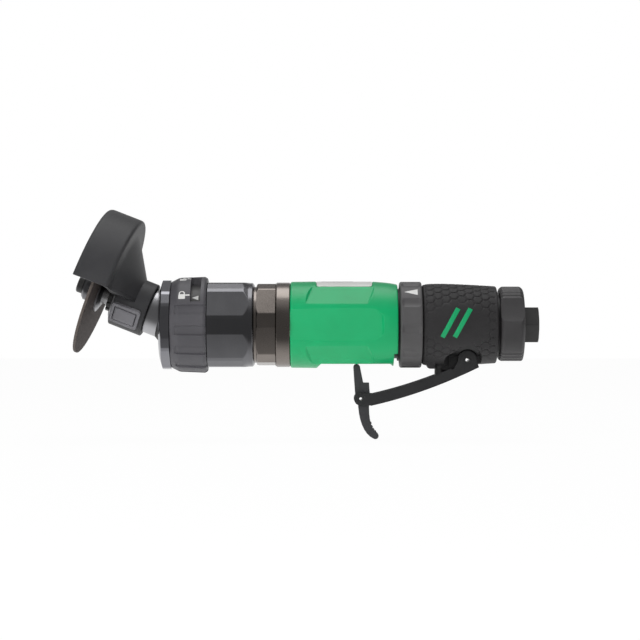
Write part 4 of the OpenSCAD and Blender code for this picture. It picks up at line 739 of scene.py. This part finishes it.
def grip_skin(x):
    """Crown of the sleeve: a parabola in the 0.46th power of the length, which peaks near the front."""
    share = np.clip((x - GRIP_F) / (GRIP_R - GRIP_F), 0, 1) ** 0.46
    return GRIP_RADIUS + 4 * GRIP_CROWN * share * (1 - share)


def grip_surface(section, angle):
    """Crowned radius, minus honeycomb grooves where the pads are, and raised to the lip below."""
    x, r = section[:, :1], section[:, 1:]
    outside = np.clip((r - 20.0) / 1.0, 0, 1)
    radius = np.where(r > 20.0, r - GRIP_RADIUS + grip_skin(x), r) + 0 * angle
    side = np.where(np.cos(angle) > 0, 0.0, np.pi)
    arc = HEX_RADIUS * np.angle(np.exp(1j * (angle - side)))
    plain = np.hypot((x + 46.5) / 15.5, arc / 11.5)
    pads = np.clip((plain - 1.0) / 0.35, 0, 1) * np.clip((np.sin(angle) + 0.86) / 0.1, 0, 1)
    ends = np.clip((x - GRIP_F - 1.2) / 0.8, 0, 1) * np.clip((GRIP_R - 1.2 - x) / 0.8, 0, 1)
    border = honeycomb(angle / (2 * np.pi) * HEX_ROUND * HEX_PITCH, x, HEX_PITCH)
    groove = 1 - np.clip((border - 0.2) / 0.4, 0, 1)
    radius = radius - HEX_DEPTH * groove * pads * ends * outside
    down = np.maximum(-np.sin(angle), 0.3)
    lip = (25.1 - ramp(-62.7 - x, 1.55) - ramp(x + 59.6, 9.0)) / down
    lip = np.minimum(lip, 9.0 / np.maximum(np.abs(np.cos(angle)), 0.05))
    return np.where((outside > 0.9) & (np.sin(angle) < -0.5), -soft_min(-radius, -lip, 0.4), radius)


grip_section = fine_skin(rounded_loop(
    [(GRIP_F, GRIP_BORE), (GRIP_F, GRIP_RADIUS), (GRIP_R, GRIP_RADIUS), (GRIP_R, GRIP_BORE)],
    [0.1, 1.0, 1.0, 0.1], 6), 19.0, 0.36)
grip_angle = full_turn(450)[None, :]
grip = add_piece("grip_sleeve", on_tool(grip_section[:, :1], grip_surface(grip_section, grip_angle), grip_angle),
                 grid_faces(len(grip_section), 450), 60)


def prism(name, outline, low, high, axis):
    """Closed cutter: an outline at a low and a high place along Y or Z, with a wall and two caps."""
    count = len(outline)
    ends = np.repeat([low, high], count)[:, None]
    flat = np.tile(outline, (2, 1))
    points = np.hstack([flat[:, :1], ends, flat[:, 1:]]) if axis == "Y" else np.hstack([flat, ends])
    return add_piece(name, points, tube_faces(2, count))


def circle_arc(radius, start, stop, count):
    """Points on a circle about the origin between two angles."""
    t = np.linspace(start, stop, count)
    return radius * np.stack([np.cos(t), np.sin(t)], -1)


nose = np.array([-9.0, -1.0])
toward, spread = math.atan2(nose[1], nose[0]), math.acos((EAR_BACK - EAR_NOSE) / math.hypot(*nose))
ear_pocket = np.vstack([circle_arc(EAR_BACK, toward + spread, toward - spread + 2 * np.pi, 56),
                        nose + circle_arc(EAR_NOSE, toward - spread, toward + spread, 28)]) + [PIVOT_X, PIVOT_Z]
boss_ring = circle_arc(BOSS_HOLE, 0, 2 * np.pi * 63 / 64, 64) + [VALVE_X, 0]
cut_away(grip, prism("near_pocket", ear_pocket, -40, -LUG_HALF, "Y"))
cut_away(grip, prism("far_pocket", ear_pocket, LUG_HALF, 40, "Y"))
cut_away(grip, prism("boss_hole", boss_ring, -60, 0, "Z"))
cut_away(grip, block("lug_slot", (VALVE_X, -5.6, -60), (PIVOT_X + 4.5, 5.6, -10)))
settle(grip, "body", "rubber", grip_rubber, "rubber_grip")

# %% [markdown]
# A plain inlay of two slanted bars in green rubber sits on the smooth middle, on both sides. A bar is a low
# rounded profile carried along a straight line on the sleeve.

# %% Inlay bars
def inlay_bar(name, start, end, half_width, side):
    """Profile of (across, height) carried from start to end, points (x, arc in mm), laid on the crown."""
    t = np.linspace(0, 1, 40)[:, None]
    path = np.array(start) * (1 - t) + np.array(end) * t
    way = (np.array(end) - start) / np.linalg.norm(np.array(end) - start)
    low, high = -0.6, 0.22
    profile = rounded_loop([(-half_width, low), (-half_width, high), (half_width, high), (half_width, low)], 0.2, 4)
    x = path[:, :1] - way[1] * profile[None, :, 0]
    arc = path[:, 1:] + way[0] * profile[None, :, 0]
    radius = grip_skin(x) + profile[None, :, 1]
    angle = arc / 23.4 if side > 0 else np.pi - arc / 23.4
    return add_piece(name, on_tool(x, radius, angle), tube_faces(*x.shape), 50)


for side in (1, -1):
    where = "near" if side > 0 else "far"
    for k, shift in enumerate((0.0, 7.0)):
        bar = inlay_bar(f"inlay_{where}_{k}", (-56.0 + shift, -7.0), (-47.0 + shift, 9.5), 1.35, side)
        settle(bar, "body", "green_housing", inlay_rubber)

# %% [markdown]
# ## Angle head
# The base is a hexagon that faces the lock ring. From it the black casting narrows to the round neck: each ring
# of points is a blend between a circle on the base and a circle on the spindle's axis, which is a loft. The
# neck was turned and blasted, so it is paler than the casting it stands in.

# %% Base and neck
HEAD_TURN = np.radians(6.0)
base_section = fine_skin(rounded_loop(
    [(-216.8, 12.0), (-216.8, 20.55), (-215.0, 26.15), (-210.4, 26.15), (-210.4, 18.95), (-197.0, 18.95),
     (-197.0, 16.5), (-208.0, 12.0)], [0.1, 0.3, 0.5, 0.4, 0.1, 0.3, 0.2, 0.1]), 20.0, 0.5)
base = carry("head_base", base_section, on_tool, 720,
             lambda x, angle: chamfered_hexagon(angle, HEAD_TURN) + 0 * x, 0.12, crease=30)
settle(base, "head", "black_metal", head_nickel, "gear_head")


def casting_rings(angle):
    """Rings from a circle on the base to a circle on the spindle's axis, joined by straight lines."""
    circle = on_spindle(np.array([[14.8]]), np.array([[12.5]]), angle)[0]
    foot = np.stack([np.full(angle.size, -216.0), 16.2 * np.sin(angle[0]), 4.4 + 16.2 * np.cos(angle[0])], -1)
    turn = np.array([[1, 0, 0], [0, np.cos(ROLL), np.sin(ROLL)], [0, -np.sin(ROLL), np.cos(ROLL)]])
    share = np.linspace(0, 1, 24)[:, None, None]
    return (foot @ turn.T) * (1 - share) + circle * share


casting_points = casting_rings(full_turn(180)[None, :])
casting = add_piece("head_casting", casting_points, tube_faces(*casting_points.shape[:2]), 30)
settle(casting, "head", "black_metal", cast_black, "gear_head")
neck_section = finer(rounded_loop(
    [(8.0, 8.8), (8.0, 12.9), (22.2, 12.9), (22.2, 11.95), (43.7, 11.95), (43.7, 8.8)],
    [0.1, 0.2, 0.5, 0.1, 0.5, 0.1]), 1.2)
settle(carry("head_neck", neck_section, on_spindle, 180), "head", "black_metal", blasted_steel, "gear_head")

# %% [markdown]
# ## Wheel guard
# A half drum with a cone behind it, moulded with a collar that turns on the neck. The section is carried
# through half a turn and closed at both ends, a shelf closes the cone below, and bevels soften the cut edges.

# %% Guard
NOSE_S, GUARD_R, GUARD_FRONT, CONE_R, CONE_S, COLLAR_R = 43.7, 46.5, 64.7, 36.9, 30.3, 15.6
guard_section = finer(rounded_loop(
    [(CONE_S, 15.3), (NOSE_S, CONE_R), (NOSE_S, GUARD_R), (GUARD_FRONT, GUARD_R), (GUARD_FRONT, 42.9),
     (GUARD_FRONT - 2.0, 42.9), (GUARD_FRONT - 4.0, 44.3), (45.9, 44.3), (45.9, CONE_R + 0.6), (CONE_S + 2.6, 15.3)],
    [0.2, 2.0, 2.4, 3.2, 0.4, 0.4, 0.6, 0.8, 1.0, 0.2], 8), 1.2)
guard_angle = np.linspace(-np.pi / 2, np.pi / 2, 121)[None, :]
guard_points = on_spindle(guard_section[:, :1], guard_section[:, 1:], guard_angle)
guard = add_piece("guard_drum", guard_points, part_turn_faces(*guard_points.shape[:2]))


def soften(piece, width_mm):
    """Bevel the sharp edges, as a moulding's edges are."""
    bevel = piece.modifiers.new("edge", "BEVEL")
    bevel.width, bevel.segments = width_mm * MM, 2
    bevel.limit_method, bevel.angle_limit = "ANGLE", math.radians(40)
    return piece


settle(soften(guard, 0.35), "guard", "black_plastic", black_nylon, "wheel_guard")

# %% [markdown]
# The collar is a plain ring with a seat cut into it for the latch, so the latch's own frame of directions comes
# first: along the spindle, across it and out from it. The latch's rounded rectangle is the cutter too.

# %% Collar and shelf
collar_section = finer(rounded_loop([(22.4, 12.0), (22.4, COLLAR_R), (42.2, COLLAR_R), (42.2, 12.0)],
                                    [0.1, 0.7, 0.7, 0.1]), 0.8)
collar = carry("guard_collar", collar_section, on_spindle, 180)
LATCH_TURN, LATCH_S = np.radians(234), 33.4
LATCH_OUT = np.cos(LATCH_TURN) * LEAN + np.sin(LATCH_TURN) * ACROSS
LATCH_SIDE = -np.sin(LATCH_TURN) * LEAN + np.cos(LATCH_TURN) * ACROSS


def on_latch(along, across, out):
    """Place on the collar under the latch: along the spindle, across it and out from it."""
    along, across, out = (v[..., None] for v in np.broadcast_arrays(along, across, out))
    return APEX + (LATCH_S + along) * SPINDLE + across * LATCH_SIDE + out * LATCH_OUT


def latch_loop(inset):
    """Rounded rectangle of the latch, moved in by an inset."""
    a, b, corner = 8.65 - inset, 6.2 - inset, max(1.2 - inset, 0.35)
    return rounded_loop([(-a, -b), (a, -b), (a, b), (-a, b)], corner * 1.4, 6)


def latch_shell(name, levels, closed):
    """Rounded rectangles at levels of (inset, height): a frame if closed, else a block with two end caps."""
    loops = np.stack([latch_loop(inset) for inset, _ in levels])
    height = np.array([h for _, h in levels])[:, None]
    faces = grid_faces(*loops.shape[:2]) if closed else tube_faces(*loops.shape[:2])
    return add_piece(name, on_latch(loops[..., 0], loops[..., 1], height), faces, 40)


cut_away(collar, latch_shell("latch_seat_cutter", [(-0.03, 13.2), (-0.03, 20.0)], False))
settle(collar, "guard", "black_plastic", black_nylon, "wheel_guard")

shelf_flat = rounded_loop([(CONE_S, 15.5), (NOSE_S, CONE_R), (45.6, CONE_R + 0.4), (45.6, 15.5)], 0.3, 3)
for side in (1, -1):
    t = np.array([0.0, 2.0])[:, None]
    s, y = shelf_flat[None, :, 0] + 0 * t, side * shelf_flat[None, :, 1] + 0 * t
    points = APEX + s[..., None] * SPINDLE + y[..., None] * ACROSS + (t + 0 * s)[..., None] * LEAN
    shelf = add_piece(f"guard_shelf_{'far' if side > 0 else 'near'}", points, tube_faces(2, len(shelf_flat)))
    settle(soften(shelf, 0.25), "guard", "black_plastic", black_nylon, "wheel_guard")

# %% [markdown]
# The latch is a frame with a push button inside it. Both are rounded rectangles at a few heights, joined into
# a wall, and the button's top is slightly crowned.

# %% Latch
frame_levels = [(0.0, 13.2), (0.0, 16.0), (0.15, 16.35), (0.5, 16.5), (1.5, 16.5), (1.85, 16.35), (2.0, 16.0),
                (2.0, 13.6)]
settle(latch_shell("latch_frame_shell", frame_levels, True), "guard", "grey_plastic", latch_nylon, "latch_frame")
button_levels = [(2.35, 14.9), (2.35, 16.5), (2.5, 16.8), (2.8, 16.95), (3.6, 17.0), (5.0, 17.03)]
settle(latch_shell("latch_button_shell", button_levels, False), "latch", "grey_plastic", latch_nylon, "latch_button")

# %% [markdown]
# ## Cutting wheel
# A wheel of grit in resin, with a rim worn to a paler, broken edge. The rim is a ring of its own, so that it can
# have its own finish without a painted mask.

# %% Wheel
wheel_section = finer(rounded_loop([(52.7, 4.9), (52.7, 37.5), (54.3, 37.5), (54.3, 4.9)], 0.12, 3), 1.5)
settle(carry("wheel_disc", wheel_section, on_spindle, 240), "spindle", "abrasive", resin_grit, "cutting_wheel")
rim_section = rounded_loop([(52.72, 36.9), (52.72, 38.0), (54.28, 38.0), (54.28, 36.9)], [0.1, 0.35, 0.35, 0.1], 5)
settle(carry("wheel_rim", rim_section, on_spindle, 360), "spindle", "abrasive", grit_edge, "cutting_wheel")

# %% [markdown]
# ## Floor, light and camera
# A photograph for a shop is taken on a white sweep, from the dark side of the studio, under a large soft box.
# So a mirror-like flat that faces the camera looks dark, one that tips up finds the soft box, and one that tips
# down or away finds the sweep. A smooth step over a direction in the room gives the sweep as light: dark towards
# the camera's side, white behind the tool. On the floor the same step over a place is painted shade: in
# reflections the floor glows darker towards the camera and under the tool, as the tool's shadow would leave it.

# %% A room that is white behind and dark in front
DARK_SIDE, WHITE_SHARE = 0.17, 0.97
WHITE = (1, 1, 1, 1)


def room(tree, source, output, across, front, back, most):
    """Brightness by a smooth step over the dot product with across, from the dark side up to most."""
    depth = node(tree, "ShaderNodeVectorMath", {"operation": "DOT_PRODUCT"}, {1: across}, {0: (source, output)})
    return node(tree, "ShaderNodeMapRange", {"interpolation_type": "SMOOTHSTEP"},
                {"From Min": front, "From Max": back, "To Min": DARK_SIDE, "To Max": most},
                {"Value": (depth, "Value")})


def clear_rays(tree):
    """One for a ray that comes straight from the camera or through a clear piece, else zero."""
    ray = node(tree, "ShaderNodeLightPath")
    return node(tree, "ShaderNodeMath", {"operation": "ADD", "use_clamp": True}, None,
                {0: (ray, "Is Camera Ray"), 1: (ray, "Is Transmission Ray")})


floor_z, reach = cad_box[0][2] / MM - 0.6, 2500
corners = [(-reach, -reach, floor_z), (reach, -reach, floor_z), (reach, reach, floor_z), (-reach, reach, floor_z)]
floor = add_piece("floor", np.array(corners), [(0, 1, 2, 3)])
floor_white = bpy.data.materials.new("white_paper_sweep")
floor_white.use_nodes = True
tree = floor_white.node_tree
tree.nodes.clear()
paper = node(tree, "ShaderNodeBsdfDiffuse", None, {"Color": tint("#F0F0F0")})
clear = clear_rays(tree)
share = node(tree, "ShaderNodeMath", {"operation": "MULTIPLY"}, {1: WHITE_SHARE}, {0: (clear, "Value")})
glow = node(tree, "ShaderNodeEmission", None, {"Color": WHITE, "Strength": 1.0})
for_camera = node(tree, "ShaderNodeMixShader", None, None,
                  {0: (share, "Value"), 1: (paper, "BSDF"), 2: (glow, "Emission")})
# Painted shade: in reflections the floor's glow steps down from white behind the tool to the dark side under and in
# front of it, standing for the tool's shadow on the floor.
spot = node(tree, "ShaderNodeTexCoord")
painted_floor_shade = room(tree, spot, "Object", (0, 1, 0), -0.095, 0.0, 1.0)
mirrored = node(tree, "ShaderNodeEmission", None, {"Color": WHITE}, {"Strength": (painted_floor_shade, "Result")})
ray = node(tree, "ShaderNodeLightPath")
mixed = node(tree, "ShaderNodeMixShader", None, None,
             {0: (ray, "Is Glossy Ray"), 1: (for_camera, "Shader"), 2: (mirrored, "Emission")})
node(tree, "ShaderNodeOutputMaterial", None, None, {"Surface": (mixed, "Shader")})
floor.data.materials.append(floor_white)
print("floor at", floor_z, "mm")

# %% [markdown]
# The world is the rest of the room. Rays from the camera find plain white; light and reflections find the sweep
# behind, a paler ceiling, and the dark side that the camera stands on.

# %% World
world = bpy.data.worlds.new("studio")
bpy.context.scene.world = world
world.use_nodes = True
tree = world.node_tree
tree.nodes.clear()
way = node(tree, "ShaderNodeTexCoord")
behind = room(tree, way, "Generated", (0, 1, -1), 0.2, 0.8, 1.0)
above = room(tree, way, "Generated", (0, 0, 1), 0.55, 1.0, 0.6)
around = node(tree, "ShaderNodeMath", {"operation": "MAXIMUM"}, None, {0: (behind, "Result"), 1: (above, "Result")})
soft = node(tree, "ShaderNodeBackground", None, {"Color": WHITE}, {"Strength": (around, "Value")})
white = node(tree, "ShaderNodeBackground", None, {"Color": WHITE, "Strength": 1.0})
clear = clear_rays(tree)
mixed = node(tree, "ShaderNodeMixShader", None, None,
             {0: (clear, "Value"), 1: (soft, "Background"), 2: (white, "Background")})
node(tree, "ShaderNodeOutputWorld", None, None, {"Surface": (mixed, "Shader")})
print("world nodes:", len(tree.nodes))

# %% [markdown]
# The soft box overhead shows in the metal. The lamps that light the camera's side are left out of mirror
# reflections, as a photographer flags them off, so they light the green panel without a glare on the nut. A
# card on the table throws some light up, so the undersides are not lost in the dark.

# %% Lamps
def soft_box(name, place, aim, size, power, mirrored):
    """Square area lamp at a place in metres, turned to face its aim."""
    lamp = bpy.data.lights.new(name, "AREA")
    lamp.shape, lamp.size, lamp.energy = "SQUARE", size, power
    held = bpy.data.objects.new(name, lamp)
    bpy.context.scene.collection.objects.link(held)
    held.location = place
    held.visible_glossy = mirrored
    held.visible_camera = False
    way = np.array(aim) - np.array(place)
    flat = math.hypot(way[0], way[1])
    held.rotation_euler = (math.atan2(flat, -way[2]), 0.0, math.atan2(-way[0], way[1]))
    return held


MIDDLE = (-0.12, 0, 0)
soft_box("top", (-0.12, 0.14, 0.95), MIDDLE, 0.70, 2.8, True)
soft_box("front", (-0.15, -0.95, 0.21), MIDDLE, 0.5, 3.7, False)
soft_box("side", (-0.90, -0.60, 0.25), MIDDLE, 0.5, 4.0, False)
soft_box("card", (-0.12, -0.08, floor_z * MM + 0.0003), (-0.12, -0.08, 1), 0.6, 0.55, False)

# %% [markdown]
# The camera stands level with the tool and 1.18 m in front of it, with a long lens, so the rings keep their round
# ends nearly edge on. It looks along Y at the middle of the tool's length.

# %% Camera
camera = bpy.data.objects.new("camera", bpy.data.cameras.new("camera"))
bpy.context.scene.collection.objects.link(camera)
camera.data.sensor_width, camera.data.lens = 36.0, 115.4
camera.location = (-0.1251, -1.18, 0.00275)
camera.rotation_euler = (math.radians(90), 0, 0)
bpy.context.scene.camera = camera
bpy.context.scene.view_settings.view_transform = "Standard"
print("camera at", tuple(camera.location))

# %% [markdown]
# Last, the scene is brought up to date. The dressed tool's box should agree with the CAD's to a fraction of a
# millimetre, because the shells follow the CAD's sizes.

# %% Finish
bpy.context.view_layer.update()
